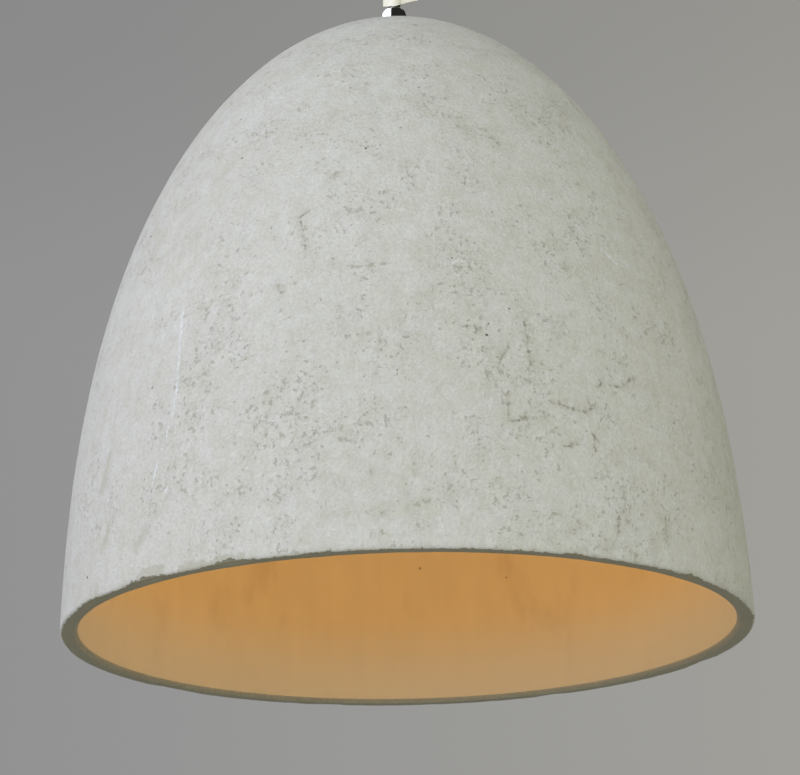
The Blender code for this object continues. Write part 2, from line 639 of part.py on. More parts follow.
def lampholder(parent):
    """Metal cap and barrel, porcelain insert, threaded shell and the side contact."""
    wall = HOLDER_WALL
    collar_bottom = -CAP_COLLAR_HEIGHT
    cap = [
        (TUBE_HOLE, 0),
        (CAP_COLLAR_RADIUS, 0),
        (CAP_COLLAR_RADIUS, 4 * MM + collar_bottom),
        *arc(HOLDER_RADIUS - 11 * MM, collar_bottom - 7 * MM, 11 * MM, 72, 0, 4),
        (HOLDER_RADIUS, -CAP_HEIGHT),
        (HOLDER_RADIUS - wall, -CAP_HEIGHT),
        *arc(HOLDER_RADIUS - 11 * MM, collar_bottom - 7 * MM, 11 * MM - wall, 0, 72, 4),
        (TUBE_HOLE, collar_bottom + 1 * MM - wall),
    ]
    body = turned("holder_cap", cap, "chrome", parent, HOLDER_TOP, 24)
    grub = rod_mesh("grub_hole", 1.5 * MM + GAP, 6 * MM, "X", 12)
    cutter(grub, (TUBE_HOLE + 2 * MM, 0, HOLDER_TOP - 4.5 * MM), body)
    earth = rod_mesh("cap_earth_hole", 1.4 * MM + GAP, 6 * MM, "Y", 12)
    cutter(earth, (0, -HOLDER_RADIUS, EARTH_SCREW_Z), body)
    turned_grub = rod_mesh("cap_grub_screw", 1.5 * MM, 2.2 * MM, "X", 12)
    grub_x = TUBE_RADIUS + GAP + 1.2 * MM
    add_object("cap_grub_screw", turned_grub, "zinc_steel", parent,
               (grub_x, 0, HOLDER_TOP - 4.5 * MM))

    barrel_top = -CAP_HEIGHT - GAP
    barrel = [
        (HOLDER_RADIUS - wall, barrel_top),
        (HOLDER_RADIUS, barrel_top),
        (HOLDER_RADIUS, barrel_top - 8 * MM),
        (HOLDER_RADIUS - 1.5 * MM, barrel_top - 10 * MM),
        (HOLDER_RADIUS - 1.5 * MM, barrel_top - BARREL_HEIGHT + 2 * MM),
        (HOLDER_RADIUS - 0.5 * MM, barrel_top - BARREL_HEIGHT + 1 * MM),
        (HOLDER_RADIUS - 0.5 * MM, barrel_top - BARREL_HEIGHT),
        (HOLDER_RADIUS - 3.8 * MM, barrel_top - BARREL_HEIGHT),
        (HOLDER_RADIUS - 3.8 * MM, barrel_top - BARREL_HEIGHT + 1.5 * MM),
        (HOLDER_RADIUS - 1.5 * MM - wall + 0.3 * MM, barrel_top - BARREL_HEIGHT + 3 * MM),
        (HOLDER_RADIUS - 1.5 * MM - wall + 0.3 * MM, barrel_top - 10 * MM),
    ]
    turned("holder_barrel", barrel, "chrome", parent, HOLDER_TOP, 24)

    insert = turned(
        "holder_insert", [
            (0, 0), (INSERT_RADIUS - 1 * MM, 0), (INSERT_RADIUS, -1 * MM),
            (INSERT_RADIUS, -5 * MM), (INSERT_RADIUS - 1.6 * MM, -7 * MM),
            (INSERT_RADIUS - 1.6 * MM, -INSERT_HEIGHT), (0, -INSERT_HEIGHT),
        ], "porcelain", parent, INSERT_TOP, 28,
    )
    for side, word in ((-1, "neutral"), (1, "live")):
        x = side * TERMINAL_OFFSET
        well = rod_mesh(f"insert_well_{word}", 2.3 * MM + GAP, 12 * MM, "Z", 12)
        cutter(well, (x, 0, INSERT_TOP), insert)
        screw(f"holder_screw_{word}", parent, (x, 0, INSERT_TOP - 2.6 * MM),
              (0, 0, 1), 2.3 * MM, 1.6 * MM, 1.3 * MM, 3 * MM, "brass")
        inlet = rod_mesh(f"insert_inlet_{word}", CORE_RADIUS + 2 * GAP, 12 * MM, "Z", 10)
        cutter(inlet, (x * 0.75, 6.5 * MM, INSERT_TOP), insert)

    waves = int(SHELL_LENGTH / THREAD_PITCH)
    per_wave = 2
    inner, outer = [], []
    for i in range(waves * per_wave + 1):
        z = -SHELL_LENGTH * i / (waves * per_wave)
        swell = THREAD_DEPTH * 0.5 * (1 - math.cos(2 * math.pi * i / per_wave))
        inner.append((SHELL_INNER_RADIUS + swell, z))
        outer.append((SHELL_INNER_RADIUS + swell + 0.5 * MM, z))
    turned("screw_shell", outer + inner[::-1], "brass", parent, SHELL_TOP, 20)

    strip_x = -(SHELL_INNER_RADIUS + THREAD_DEPTH + 0.5 * MM + GAP)
    strip = block_mesh("shell_contact", (strip_x - 0.6 * MM, -3 * MM, -12 * MM),
                       (strip_x, 3 * MM, 0))
    add_object("shell_contact", strip, "brass", parent, (0, 0, SHELL_TOP))


def holder_wiring(parent, tube_end):
    """The flex's three cores from the tube's end to the insert's wells and the cap's earth screw."""
    start = tube_end - 1 * MM - CORE_CLEARANCE
    x = TERMINAL_OFFSET * 0.75
    for side, pole, slot in ((-1, "neutral", "blue_core"), (1, "live", "brown_core")):
        route = [
            (side * 1.7 * MM, 1 * MM, start),
            (side * 1.7 * MM, 1 * MM, start - 1 * MM),
            (side * 2.4 * MM, 1.8 * MM, start - 2.6 * MM),
            (side * 5 * MM, 5 * MM, start - 5 * MM),
            (side * x, 6.5 * MM, INSERT_TOP + 2.5 * MM),
            (side * x, 6.5 * MM, INSERT_TOP - 3 * MM),
        ]
        wire(f"core_{pole}_holder", smooth_route(route, 3), CORE_RADIUS, slot, parent)
    route = [
        (0, -1.8 * MM, start),
        (0, -1.8 * MM, start - 0.7 * MM),
        (0, -3.2 * MM, start - 2.2 * MM),
        (0, -7 * MM, start - 3.1 * MM),
        (0, -12.5 * MM, start - 3 * MM),
        (0, -16 * MM, start - 4.2 * MM),
        (0, -17.2 * MM, EARTH_SCREW_Z + 2.8 * MM),
    ]
    wire("core_earth_holder", smooth_route(route, 3), CORE_RADIUS, "earth_core", parent)
    screw("cap_earth_screw", parent, (0, -18.7 * MM, EARTH_SCREW_Z), (0, 1, 0),
          2.4 * MM, 1.5 * MM, 1.4 * MM, 2.2 * MM, "brass")


def centre_contact(parent):
    """The sprung bronze tongue: a flat root under the insert and a tongue bent down to the bulb."""
    t = 0.5 * MM
    outline = [
        (2.5 * MM, 0.8 * MM), (2.5 * MM, 0.8 * MM - t), (-1 * MM, 0.8 * MM - t),
        (-7 * MM, -0.9 * MM - t), (-12.5 * MM, -0.9 * MM - t), (-13.5 * MM, -0.4 * MM - t),
        (-13.5 * MM, -0.4 * MM), (-12.5 * MM, -0.9 * MM), (-7 * MM, -0.9 * MM),
        (-1 * MM, 0.8 * MM),
    ]
    mesh = extruded_mesh("centre_contact", outline, -2.5 * MM, 2.5 * MM)
    add_object("centre_contact", mesh, "brass", parent, (CONTACT_PIVOT_X, 0, CONTACT_Z))


def bulb(parent):
    """A clear filament bulb: button, black glass insulator, threaded cap, envelope, stem, leads
    and filament."""
    turned("bulb_button", [
        (0, 0), (2.4 * MM, -0.1 * MM), (4.4 * MM, -0.9 * MM), (4.4 * MM, -1.4 * MM),
        (0, -1.4 * MM),
    ], "tungsten", parent, BULB_TOP, 20)
    turned("bulb_insulator", [
        (0, -1.4 * MM - GAP), (5 * MM, -1.4 * MM - GAP), (9.4 * MM, -3.2 * MM),
        (9.4 * MM, -7 * MM), (0, -7 * MM),
    ], "black_glass", parent, BULB_TOP, 24)
    top = BULB_CAP_TOP - BULB_TOP
    waves, per_wave = 5, 2
    pitch = THREAD_PITCH
    outer = [(9.4 * MM + GAP, top), (11 * MM, top), (12.2 * MM, top - 1.2 * MM)]
    for i in range(waves * per_wave + 1):
        z = top - 1.8 * MM - pitch * i / per_wave
        swell = THREAD_DEPTH * 0.5 * (1 - math.cos(2 * math.pi * i / per_wave))
        outer.append((BULB_CAP_RADIUS - THREAD_DEPTH + swell, z))
    bottom = top - BULB_CAP_LENGTH
    outer += [(BULB_CAP_RADIUS, bottom + 2 * MM), (BULB_CAP_RADIUS, bottom)]
    inner_radius = BULB_CAP_RADIUS - THREAD_DEPTH - 0.5 * MM
    shell = outer + [
        (inner_radius, bottom), (inner_radius, top - 3 * MM), (9.4 * MM + GAP, top - 1 * MM)
    ]
    turned("bulb_cap", shell, "zinc_steel", parent, BULB_TOP, 20)

    neck = inner_radius - GAP
    centre = -(BULB_LENGTH - BULB_RADIUS)
    neck_top = bottom + 6 * MM
    neck_z = bottom - 4 * MM

    def envelope(inset):
        """The neck, a fair curve, then most of a sphere, from the neck's edge to the axis."""
        radius = BULB_RADIUS - inset
        ball = arc(0, centre, radius, 32, -90, 7)
        join = [(neck - inset, neck_top), (neck - inset, neck_z),
                (neck + 1.2 * MM - inset, neck_z - 3.5 * MM),
                (neck + 4.2 * MM - inset, neck_z - 8.5 * MM)]
        return join + ball[:-1] + [(0, centre - radius)]

    outside, inside = envelope(0), envelope(GLASS_WALL)
    rim_and_back = outside[::-1] + inside
    turned("bulb_glass", rim_and_back, "bulb_glass", parent, BULB_TOP, 24)

    stem_top = neck_top - 1 * MM
    turned("bulb_stem", [
        (0, stem_top), (neck - GLASS_WALL - 2 * GAP, stem_top),
        (neck - GLASS_WALL - 2 * GAP, stem_top - 1 * MM), (4 * MM, stem_top - 6 * MM),
        (3 * MM, stem_top - 15 * MM), (1.6 * MM, stem_top - STEM_LENGTH),
        (0, stem_top - STEM_LENGTH),
    ], "bulb_glass", parent, BULB_TOP, 16)
    lead_top = BULB_TOP + stem_top - STEM_LENGTH - GAP
    filament_z = BULB_TOP + centre + 2.5 * MM
    for side, word in ((-1, "left"), (1, "right")):
        route = [
            (side * 1 * MM, 0, lead_top), (side * 2.5 * MM, 0, lead_top - 5 * MM),
            (side * 9 * MM, 0, filament_z + 3 * MM), (side * 10 * MM, 0, filament_z + 2 * FILAMENT_RADIUS),
        ]
        wire(f"bulb_lead_{word}", smooth_route(route, 2), 0.45 * MM, "tungsten", parent)
    arch = arc(0, filament_z - 6 * MM, 11.4 * MM, 148, 32, 8)
    wire("filament", [(px, 0, pz - 0.6 * MM) for px, pz in arch], FILAMENT_RADIUS, "tungsten", parent)


def main():
    clear_scene()
    ceiling = pivot("ceiling_plane", 0.0)
    upper = pivot("swing_pivot", SWING_PIVOT, ceiling)
    lower = pivot("twist_pivot", TWIST_PIVOT, upper)
    dome = pivot("rock_pivot", ROCK_PIVOT, lower)
    tongue = pivot("contact_pivot", CONTACT_Z, dome, CONTACT_PIVOT_X)
    lamp = pivot("bulb_axis", BULB_TOP, dome)

    ceiling_bracket(ceiling)
    ceiling_rose(ceiling)
    terminal_block(ceiling)
    turned("rose_tube",
           ring_outline(TUBE_BORE, TUBE_RADIUS, ROSE_BOTTOM - TUBE_IN_GLAND, ROSE_BOTTOM + 7 * MM),
           "zinc_steel", ceiling, 0, 24)
    lock_nut("rose_lock_nut", ceiling, ROSE_BOTTOM + ROSE_WALL + GAP + LOCK_NUT_HEIGHT)
    cable_gland("rose", ROSE_BOTTOM, -1, ceiling)
    rose_wiring(ceiling)
    hanging_flex(upper, lower)
    flex_tag(lower)
    cable_gland("shade", GLAND_SEAT, 1, dome)
    tube_end = shade_fixings(dome)
    shade(dome)
    lampholder(dome)
    holder_wiring(dome, tube_end)
    centre_contact(tongue)
    bulb(lamp)


main()
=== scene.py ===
"""Looks of the pendant ceiling light: a cast concrete dome, ochre inside, hung on a short black
flex from a chrome ceiling rose. Metres, +Z up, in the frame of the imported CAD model."""

import json
import math

import bmesh
import bpy
import numpy as np
from mathutils import Matrix, Vector, noise

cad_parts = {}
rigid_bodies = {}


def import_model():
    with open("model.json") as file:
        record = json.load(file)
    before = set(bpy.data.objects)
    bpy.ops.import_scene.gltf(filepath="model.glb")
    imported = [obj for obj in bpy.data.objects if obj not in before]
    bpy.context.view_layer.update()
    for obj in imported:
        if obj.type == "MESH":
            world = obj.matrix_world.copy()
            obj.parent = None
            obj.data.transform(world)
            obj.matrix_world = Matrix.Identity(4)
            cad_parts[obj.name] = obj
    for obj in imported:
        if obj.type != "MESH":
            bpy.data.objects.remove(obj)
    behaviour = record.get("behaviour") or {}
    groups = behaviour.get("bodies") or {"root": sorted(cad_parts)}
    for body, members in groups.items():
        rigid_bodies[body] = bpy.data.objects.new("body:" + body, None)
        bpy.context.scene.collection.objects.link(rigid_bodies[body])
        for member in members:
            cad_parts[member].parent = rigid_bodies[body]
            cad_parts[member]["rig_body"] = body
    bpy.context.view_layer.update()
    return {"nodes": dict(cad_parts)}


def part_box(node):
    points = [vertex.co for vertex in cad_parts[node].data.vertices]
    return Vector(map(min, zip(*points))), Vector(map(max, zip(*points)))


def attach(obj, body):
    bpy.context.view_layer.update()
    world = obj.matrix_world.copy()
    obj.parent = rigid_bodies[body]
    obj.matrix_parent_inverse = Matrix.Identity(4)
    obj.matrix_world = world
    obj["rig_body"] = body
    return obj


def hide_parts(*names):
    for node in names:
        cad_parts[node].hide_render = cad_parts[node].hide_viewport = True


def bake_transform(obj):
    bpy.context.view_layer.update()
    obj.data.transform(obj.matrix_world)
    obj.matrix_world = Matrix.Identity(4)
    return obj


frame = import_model()

MM = 0.001
GAP = 0.3 * MM


def low(node):
    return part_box(node)[0]


def high(node):
    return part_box(node)[1]


def span(node):
    """The node's lowest and highest z."""
    return low(node).z, high(node).z


# Driving places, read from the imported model
RIM_Z, CROWN_SEAT = span("shade")
RIM_RADIUS = high("shade").x
SWING_PIVOT = low("rose_gland_dome_nut").z
ROCK_PIVOT = high("shade_gland_dome_nut").z
ROSE_BOTTOM = low("rose_cup").z
ROSE_RADIUS = high("rose_cup").x
GLAND_SEAT = low("shade_gland_body").z - GAP
HOLDER_RADIUS = high("holder_cap").x

# Dome: (r / R)^2 + (h / H)^DOME_POWER = 1, h above the rim
DOME_POWER = 2.26
CROWN_SEAT_RADIUS = 19 * MM
CROWN_INNER_SEAT_RADIUS = 22 * MM
DOME_HEIGHT = (CROWN_SEAT - RIM_Z) / (
    1 - (CROWN_SEAT_RADIUS / RIM_RADIUS) ** 2
) ** (1 / DOME_POWER)
RIM_WALL = 8.75 * MM
CROWN_WALL = 12 * MM
RIM_OUTER_ROUND = 1.2 * MM
RIM_INNER_ROUND = 3 * MM
CROWN_HOLE_RADIUS = 5.6 * MM

FLEX_RADIUS = 3.5 * MM
TUBE_RADIUS = 5 * MM
FLEX_ENTRY = 3 * MM  # how far the free flex reaches into each gland
TUBE_BORE = FLEX_RADIUS + GAP
TUBE_HOLE = TUBE_RADIUS + GAP
HEX_CORNER_RADIUS = 7.3 * MM
HEX_TURN = math.radians(13)
HOLDER_WALL = 1.8 * MM
SHEET = 0.5 * MM  # of the bulb's cap and of the shell round it
THREAD_PITCH = 3.63 * MM
THREAD_DEPTH = 0.9 * MM
BULB_CAP_RADIUS = 13.1 * MM
BULB_CAP_BORE = BULB_CAP_RADIUS - THREAD_DEPTH - SHEET
BALL_FROM = 34  # degrees above the bulb's widest place: the neck's curve ends there

# The viewing angle: from below the rim, looking up at the dome
CAMERA_BACK = 0.8587
CAMERA_DROP = 0.1935  # below the rim
CAMERA_LENS = 76.5
CAMERA_PITCH = math.radians(21.2)
CAMERA_YAW = 0.0067
CAMERA_ROLL = 0.0143
CAMERA_LEAN = 0.0324  # about the rim's middle: the light hangs straight, the camera is tilted

FLOOR_DROP = 3.0
FLOOR_RADIUS = 150


# ---------------------------------------------------------------- mesh tools

def link(obj):
    bpy.context.scene.collection.objects.link(obj)
    return obj


def smooth_shaded(mesh, sharp_degrees):
    """Smooth shading, with crisp edges past the angle."""
    mesh.shade_smooth()
    mesh.set_sharp_from_angle(angle=math.radians(sharp_degrees))


def welded(shape):
    bmesh.ops.remove_doubles(shape, verts=shape.verts, dist=1e-7)
    bmesh.ops.recalc_face_normals(shape, faces=shape.faces)


def finish_mesh(name, shape, sharp_degrees=35):
    """Turns a bmesh into a smooth-shaded object."""
    mesh = bpy.data.meshes.new(name)
    shape.to_mesh(mesh)
    shape.free()
    smooth_shaded(mesh, sharp_degrees)
    return link(bpy.data.objects.new(name, mesh))


def arc(cx, cz, radius, start, end, steps):
    """Points (x, z) along an arc, with angles in degrees."""
    angles = np.radians(np.linspace(start, end, steps + 1))
    return [(cx + radius * math.cos(a), cz + radius * math.sin(a)) for a in angles]


def rounded(points, by, steps=3, closed=True):
    """The outline with its corners rounded off by `by`, or by less beside a short edge."""
    found = []
    count = len(points)
    for i, point in enumerate(points):
        if not closed and i in (0, count - 1):
            found.append(point)
            continue
        here = Vector(point)
        back = Vector(points[i - 1]) - here
        on = Vector(points[(i + 1) % count]) - here
        reach = min(by, 0.45 * back.length, 0.45 * on.length)
        a, b = here + back.normalized() * reach, here + on.normalized() * reach
        for k in range(steps + 1):
            t = k / steps
            found.append(tuple((1 - t) ** 2 * a + 2 * t * (1 - t) * here + t * t * b))
    return found


def divided(points, step, closed=True):
    """The outline with points added so that none of its edges is longer than `step`."""
    found = []
    for a, b in zip(points, points[1:] + points[:1] if closed else points[1:]):
        a, b = Vector(a), Vector(b)
        cuts = max(1, math.ceil((b - a).length / step))
        found += [tuple(a.lerp(b, k / cuts)) for k in range(cuts)]
    return found if closed else found + [points[-1]]


def turned(name, outline, segments=96, shape=None, sharp_degrees=35):
    """A solid of revolution about Z. The outline is (radius, height) points: an open chain that
    starts and ends on the axis, or a closed loop clear of it. `shape` may change (radius, height)
    at each angle, which makes hexagons, threads and knurls."""
    closed = outline[0][0] > 0
    radius, height = np.array(outline, float).T
    angle = np.arange(segments) * 2 * math.pi / segments
    r, z, a = np.broadcast_arrays(radius, height, angle[:, None])
    if shape:
        r, z = shape(r, z, a)
    points = np.stack([r * np.cos(a), r * np.sin(a), z], -1).reshape(-1, 3)
    rows = len(outline)
    body = bmesh.new()
    verts = [body.verts.new(p) for p in points]
    last = rows if closed else rows - 1
    for column in range(segments):
        beside = (column + 1) % segments
        for row in range(last):
            above = (row + 1) % rows
            body.faces.new([
                verts[column * rows + row], verts[beside * rows + row],
                verts[beside * rows + above], verts[column * rows + above],
            ])
    welded(body)
    return finish_mesh(name, body, sharp_degrees)


def hexagon(corner_radius, turn=0.0):
    """A shape for `turned` that trims a blank to a hexagonal bar, turned about its axis."""
    flat = corner_radius * math.cos(math.radians(30))

    def trim(r, z, a):
        from_flat = np.mod(a - turn, math.pi / 3) - math.pi / 6
        return np.minimum(r, flat / np.cos(from_flat)), z
    return trim


def thread(pitch, depth, where):
    """A shape for `turned` that cuts a rounded helical thread where `where(r, z)` is true."""
    def cut(r, z, a):
        wave = 0.5 - 0.5 * np.cos(2 * math.pi * (z / pitch - a / (2 * math.pi)))
        return r - depth * wave * where(r, z), z
    return cut


def block(name, size_low, size_high, bevel):
    """A box with rounded edges."""
    shape = bmesh.new()
    bmesh.ops.create_cube(shape, size=1)
    a, b = Vector(size_low), Vector(size_high)
    fit = Matrix.Translation((a + b) / 2) @ Matrix.Diagonal((*(b - a), 1))
    bmesh.ops.transform(shape, verts=shape.verts, matrix=fit)
    bmesh.ops.bevel(shape, geom=list(shape.edges), offset=bevel, segments=3, profile=0.6,
                    affect="EDGES")
    return finish_mesh(name, shape)


def rod(name, centre, axis, radius, length):
    """A plain bar, used only to cut holes."""
    shape = bmesh.new()
    turn = Vector((0, 0, 1)).rotation_difference(Vector(axis)).to_matrix().to_4x4()
    bmesh.ops.create_cone(
        shape, cap_ends=True, segments=32, radius1=radius, radius2=radius, depth=length,
        matrix=Matrix.Translation(centre) @ turn,
    )
    return finish_mesh(name, shape)


def applied(obj):
    """The object with its modifiers, or its curve's bevel, made into plain mesh."""
    bpy.context.view_layer.update()
    seen = obj.evaluated_get(bpy.context.evaluated_depsgraph_get())
    mesh = bpy.data.meshes.new_from_object(seen)
    name = obj.name
    bpy.data.objects.remove(obj)
    mesh.name = name
    return link(bpy.data.objects.new(name, mesh))


def cut(obj, cutters):
    """Cuts the cutters' shapes out of obj, and removes them."""
    for tool in cutters:
        step = obj.modifiers.new("cut", "BOOLEAN")
        step.object = tool
    made = applied(obj)
    for tool in cutters:
        bpy.data.objects.remove(tool)
    smooth_shaded(made.data, 35)
    return made


def smooth_route(points, per_span):
    """Points read from a Catmull-Rom curve through the route's own points."""
    route = [Vector(p) for p in points]
    padded = [2 * route[0] - route[1]] + route + [2 * route[-1] - route[-2]]
    found = []
    for before, a, b, after in zip(padded, padded[1:], padded[2:], padded[3:]):
        for i in range(per_span):
            t = i / per_span
            found.append(
                0.5 * (2 * a + (b - before) * t + (2 * before - 5 * a + 4 * b - after) * t * t
                       + (3 * a - before - 3 * b + after) * t ** 3)
            )
    return found + [route[-1]]


def tube(name, points, radius, shares=None, sides=6):
    """A round cord along points, as mesh. `shares` scale its radius at each point."""
    curve = bpy.data.curves.new(name, "CURVE")
    curve.dimensions = "3D"
    curve.bevel_depth = radius
    curve.bevel_resolution = sides
    curve.use_fill_caps = True
    spline = curve.splines.new("POLY")
    spline.points.add(len(points) - 1)
    for i, place in enumerate(points):
        spline.points[i].co = (*place, 1)
        spline.points[i].radius = shares[i] if shares else 1.0
    made = applied(link(bpy.data.objects.new(name, curve)))
    shape = bmesh.new()
    shape.from_mesh(made.data)
    welded(shape)
    shape.to_mesh(made.data)
    shape.free()
    smooth_shaded(made.data, 50)
    return made


def dress(obj, slot):
    """Gives a piece its slot's material."""
    obj.data.materials.clear()
    obj.data.materials.append(LOOKS[slot])
    return obj


def settle(obj, slot, *nodes):
    """A finished piece takes its CAD nodes' place, on their body."""
    dress(obj, slot)
    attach(obj, frame["nodes"][nodes[0]]["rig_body"])
    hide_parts(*nodes)
    return obj


def turned_piece(node, slot, outline, segments, shape=None, sharp_degrees=35):
    """A solid of revolution in its CAD node's place."""
    settle(turned(node + "_fine", outline, segments, shape, sharp_degrees), slot, node)


def node_shape(node):
    shape = bmesh.new()
    shape.from_mesh(frame["nodes"][node].data)
    bmesh.ops.remove_doubles(shape, verts=shape.verts, dist=1e-6)
    return shape


def refined(node, slot, bevel):
    """A CAD node's own shape with its edges eased, for pieces that are mostly hidden."""
    shape = node_shape(node)
    bmesh.ops.dissolve_limit(shape, angle_limit=math.radians(1.5), verts=shape.verts,
                             edges=shape.edges)
    obj = finish_mesh(node + "_eased", shape)
    step = obj.modifiers.new("ease", "BEVEL")
    step.width = bevel
    step.segments = 2
    step.limit_method = "ANGLE"
    step.angle_limit = math.radians(40)
    made = applied(obj)
    smooth_shaded(made.data, 40)
    settle(made, slot, node)


def smoothed_wire(node, slot):
    """A CAD wire with twice the sides, for wires that are mostly hidden."""
    shape = node_shape(node)
    bmesh.ops.join_triangles(
        shape, faces=shape.faces, angle_face_threshold=0.7, angle_shape_threshold=0.7
    )
    obj = finish_mesh(node + "_smooth", shape, 60)
    step = obj.modifiers.new("smooth", "SUBSURF")
    step.levels = step.render_levels = 1
    made = applied(obj)
    made.data.shade_smooth()
    settle(made, slot, node)


# ---------------------------------------------------------------- material tools

class Nodes:
    """Adds nodes to a tree, and feeds their sockets with values or with other sockets."""

    def __init__(self, tree):
        self.tree = tree

    def feed(self, socket, value):
        if isinstance(value, bpy.types.NodeSocket):
            self.tree.links.new(value, socket)
        elif isinstance(value, tuple) and len(socket.default_value) == 4 and len(value) == 3:
            socket.default_value = (*value, 1)
        else:
            socket.default_value = value

    def add(self, kind, inputs=(), **settings):
        made = self.tree.nodes.new("ShaderNode" + kind)
        for name, value in settings.items():
            setattr(made, name, value)
        for key, value in dict(inputs).items():
            self.feed(made.inputs[key], value)
        return made


class Recipe(Nodes):
    """One material's nodes. Pattern sizes are in metres, and bump heights in millimetres."""

    def __init__(self, name, **sockets):
        self.material = bpy.data.materials.new(name)
        self.material.use_nodes = True
        super().__init__(self.material.node_tree)
        self.shader = self.tree.nodes["Principled BSDF"]
        self.set(**sockets)
        self.place = self.add("TexCoord").outputs["Object"]

    def set(self, **sockets):
        for name, value in sockets.items():
            self.feed(self.shader.inputs[name.replace("_", " ")], value)

    def stretched(self, stretch, shift):
        node = self.add("Mapping", {"Vector": self.place, "Scale": stretch, "Location": shift})
        return node.outputs["Vector"]

    def noise(self, size, detail=3.0, rough=0.55, stretch=(1, 1, 1), shift=(0.0, 0.0, 0.0)):
        """Cloudy noise, 0 to 1, with blotches about `size` across."""
        place = self.stretched(stretch, shift)
        node = self.add("TexNoise", {
            "Vector": place, "Scale": 1 / size, "Detail": detail, "Roughness": rough,
        })
        return node.outputs[0]

    def cells(self, size, shift=(0.0, 0.0, 0.0)):
        """Distance to the nearest of scattered points, as a share of the cell size."""
        place = self.stretched((1, 1, 1), shift)
        return self.add("TexVoronoi", {"Vector": place, "Scale": 1 / size}).outputs["Distance"]

    def vectors(self, operation, a, b, result="Vector"):
        second = "Scale" if operation == "SCALE" else 1
        return self.add("VectorMath", {0: a, second: b}, operation=operation).outputs[result]

    def wandering(self, place, size, by):
        """The place, moved at random by up to about `by`, in a way that changes over `size`."""
        node = self.add("TexNoise", {"Vector": self.place, "Scale": 1 / size, "Detail": 2.0})
        centred = self.vectors("SUBTRACT", node.outputs["Color"], (0.5, 0.5, 0.5))
        return self.vectors("ADD", place, self.vectors("SCALE", centred, 2 * by))

    def step(self, value, start, end):
        """0 before start and 1 past end, smoothly; start may be above end."""
        swap = start > end
        return self.add("MapRange", {
            "Value": value, "From Min": min(start, end), "From Max": max(start, end),
            "To Min": 1.0 if swap else 0.0, "To Max": 0.0 if swap else 1.0,
        }, interpolation_type="SMOOTHSTEP").outputs["Result"]

    def between(self, value, a, b):
        """The value, 0 to 1, moved to run from a to b."""
        return self.add("MapRange", {"Value": value, "To Min": a, "To Max": b}).outputs["Result"]

    def math(self, operation, a, b=0.0):
        return self.add("Math", {0: a, 1: b}, operation=operation).outputs[0]

    def times(self, a, b):
        return self.math("MULTIPLY", a, b)

    def chain(self, operation, terms):
        found = terms[0]
        for term in terms[1:]:
            found = self.math(operation, found, term)
        return found

    def total(self, *terms):
        return self.chain("ADD", terms)

    def most(self, *terms):
        return self.chain("MAXIMUM", terms)

    def mix(self, share, a, b, blend_type="MIX"):
        node = self.add("Mix", data_type="RGBA", blend_type=blend_type)
        for socket, value in ((0, share), (6, a), (7, b)):
            self.feed(node.inputs[socket], value)
        return node.outputs[2]

    def over(self, base, *layers):
        """The base with layers laid over it, each one a mask, its weight and a colour."""
        for mask, weight, colour in layers:
            base = self.mix(self.times(mask, weight), base, colour)
        return base

    def tint(self, colour, value, spread):
        """The colour, lighter and darker by `spread` as the value runs from 1 to 0."""
        factor = self.between(value, 1 - spread, 1 + spread)
        grey = self.add("CombineColor", {0: factor, 1: factor, 2: factor}).outputs[0]
        return self.mix(1.0, colour, grey, "MULTIPLY")

    def attribute(self, name, kind="Vector"):
        return self.add("Attribute", attribute_name=name).outputs[kind]

    def bump(self, *heights):
        """Raises the surface by the sum of the heights, in millimetres."""
        height = self.total(*heights)
        node = self.add("Bump", {"Height": height, "Distance": MM, "Strength": 1.0})
        self.set(Normal=node.outputs["Normal"])

    def near_line(self, place, start, end):
        """Distance from place to a straight mark, both on the unrolled surface."""
        a, b = Vector(start), Vector(end)
        along = b - a
        offset = self.vectors("SUBTRACT", place, tuple(a))
        share = self.vectors("DOT_PRODUCT", offset, tuple(along / along.length_squared), "Value")
        held = self.add("Clamp", {"Value": share}).outputs[0]
        foot = self.vectors("SCALE", tuple(along), held)
        return self.vectors("DISTANCE", offset, foot, "Value")

    def marks(self, routes, place, outer, inner):
        """1 within `inner` of the routes and 0 past `outer`, all in millimetres."""
        return self.most(*[
            self.step(self.near_line(place, on_skin(a), on_skin(b)), outer * MM, inner * MM)
            for route in routes for a, b in zip(route, route[1:])
        ])


# ---------------------------------------------------------------- materials

def metal_look(name, colour, rough, spread=0.05, scratch=0.5, mark_size=9 * MM):
    """Bare metal with cloudy handling marks, fine scratches and a faint unevenness."""
    look = Recipe(name, Metallic=1.0)
    cloud = look.noise(mark_size, 4)
    fine = look.noise(0.5 * MM, 2, stretch=(1, 1, 0.08))
    look.set(Base_Color=look.tint(colour, cloud, spread))
    look.set(Roughness=look.total(look.between(cloud, 0.8 * rough, 1.3 * rough),
                                  look.between(fine, 0, 0.08 * scratch)))
    look.bump(look.between(look.noise(6 * MM, 2), 0, 0.05),
              look.between(fine, 0, 0.004 * scratch))
    return look.material


def plastic_look(name, colour, rough, grain=0.02, grain_size=0.6 * MM, spread=0.08):
    """Moulded plastic, rubber, porcelain or black glass: fine grain and slow colour changes."""
    look = Recipe(name)
    cloud = look.noise(14 * MM, 4)
    fine = look.noise(grain_size, 2)
    look.set(Base_Color=look.tint(look.tint(colour, cloud, spread), fine, spread / 2))
    look.set(Roughness=look.between(cloud, rough - 0.06, rough + 0.08))
    look.bump(look.between(fine, 0, grain))
    return look.material


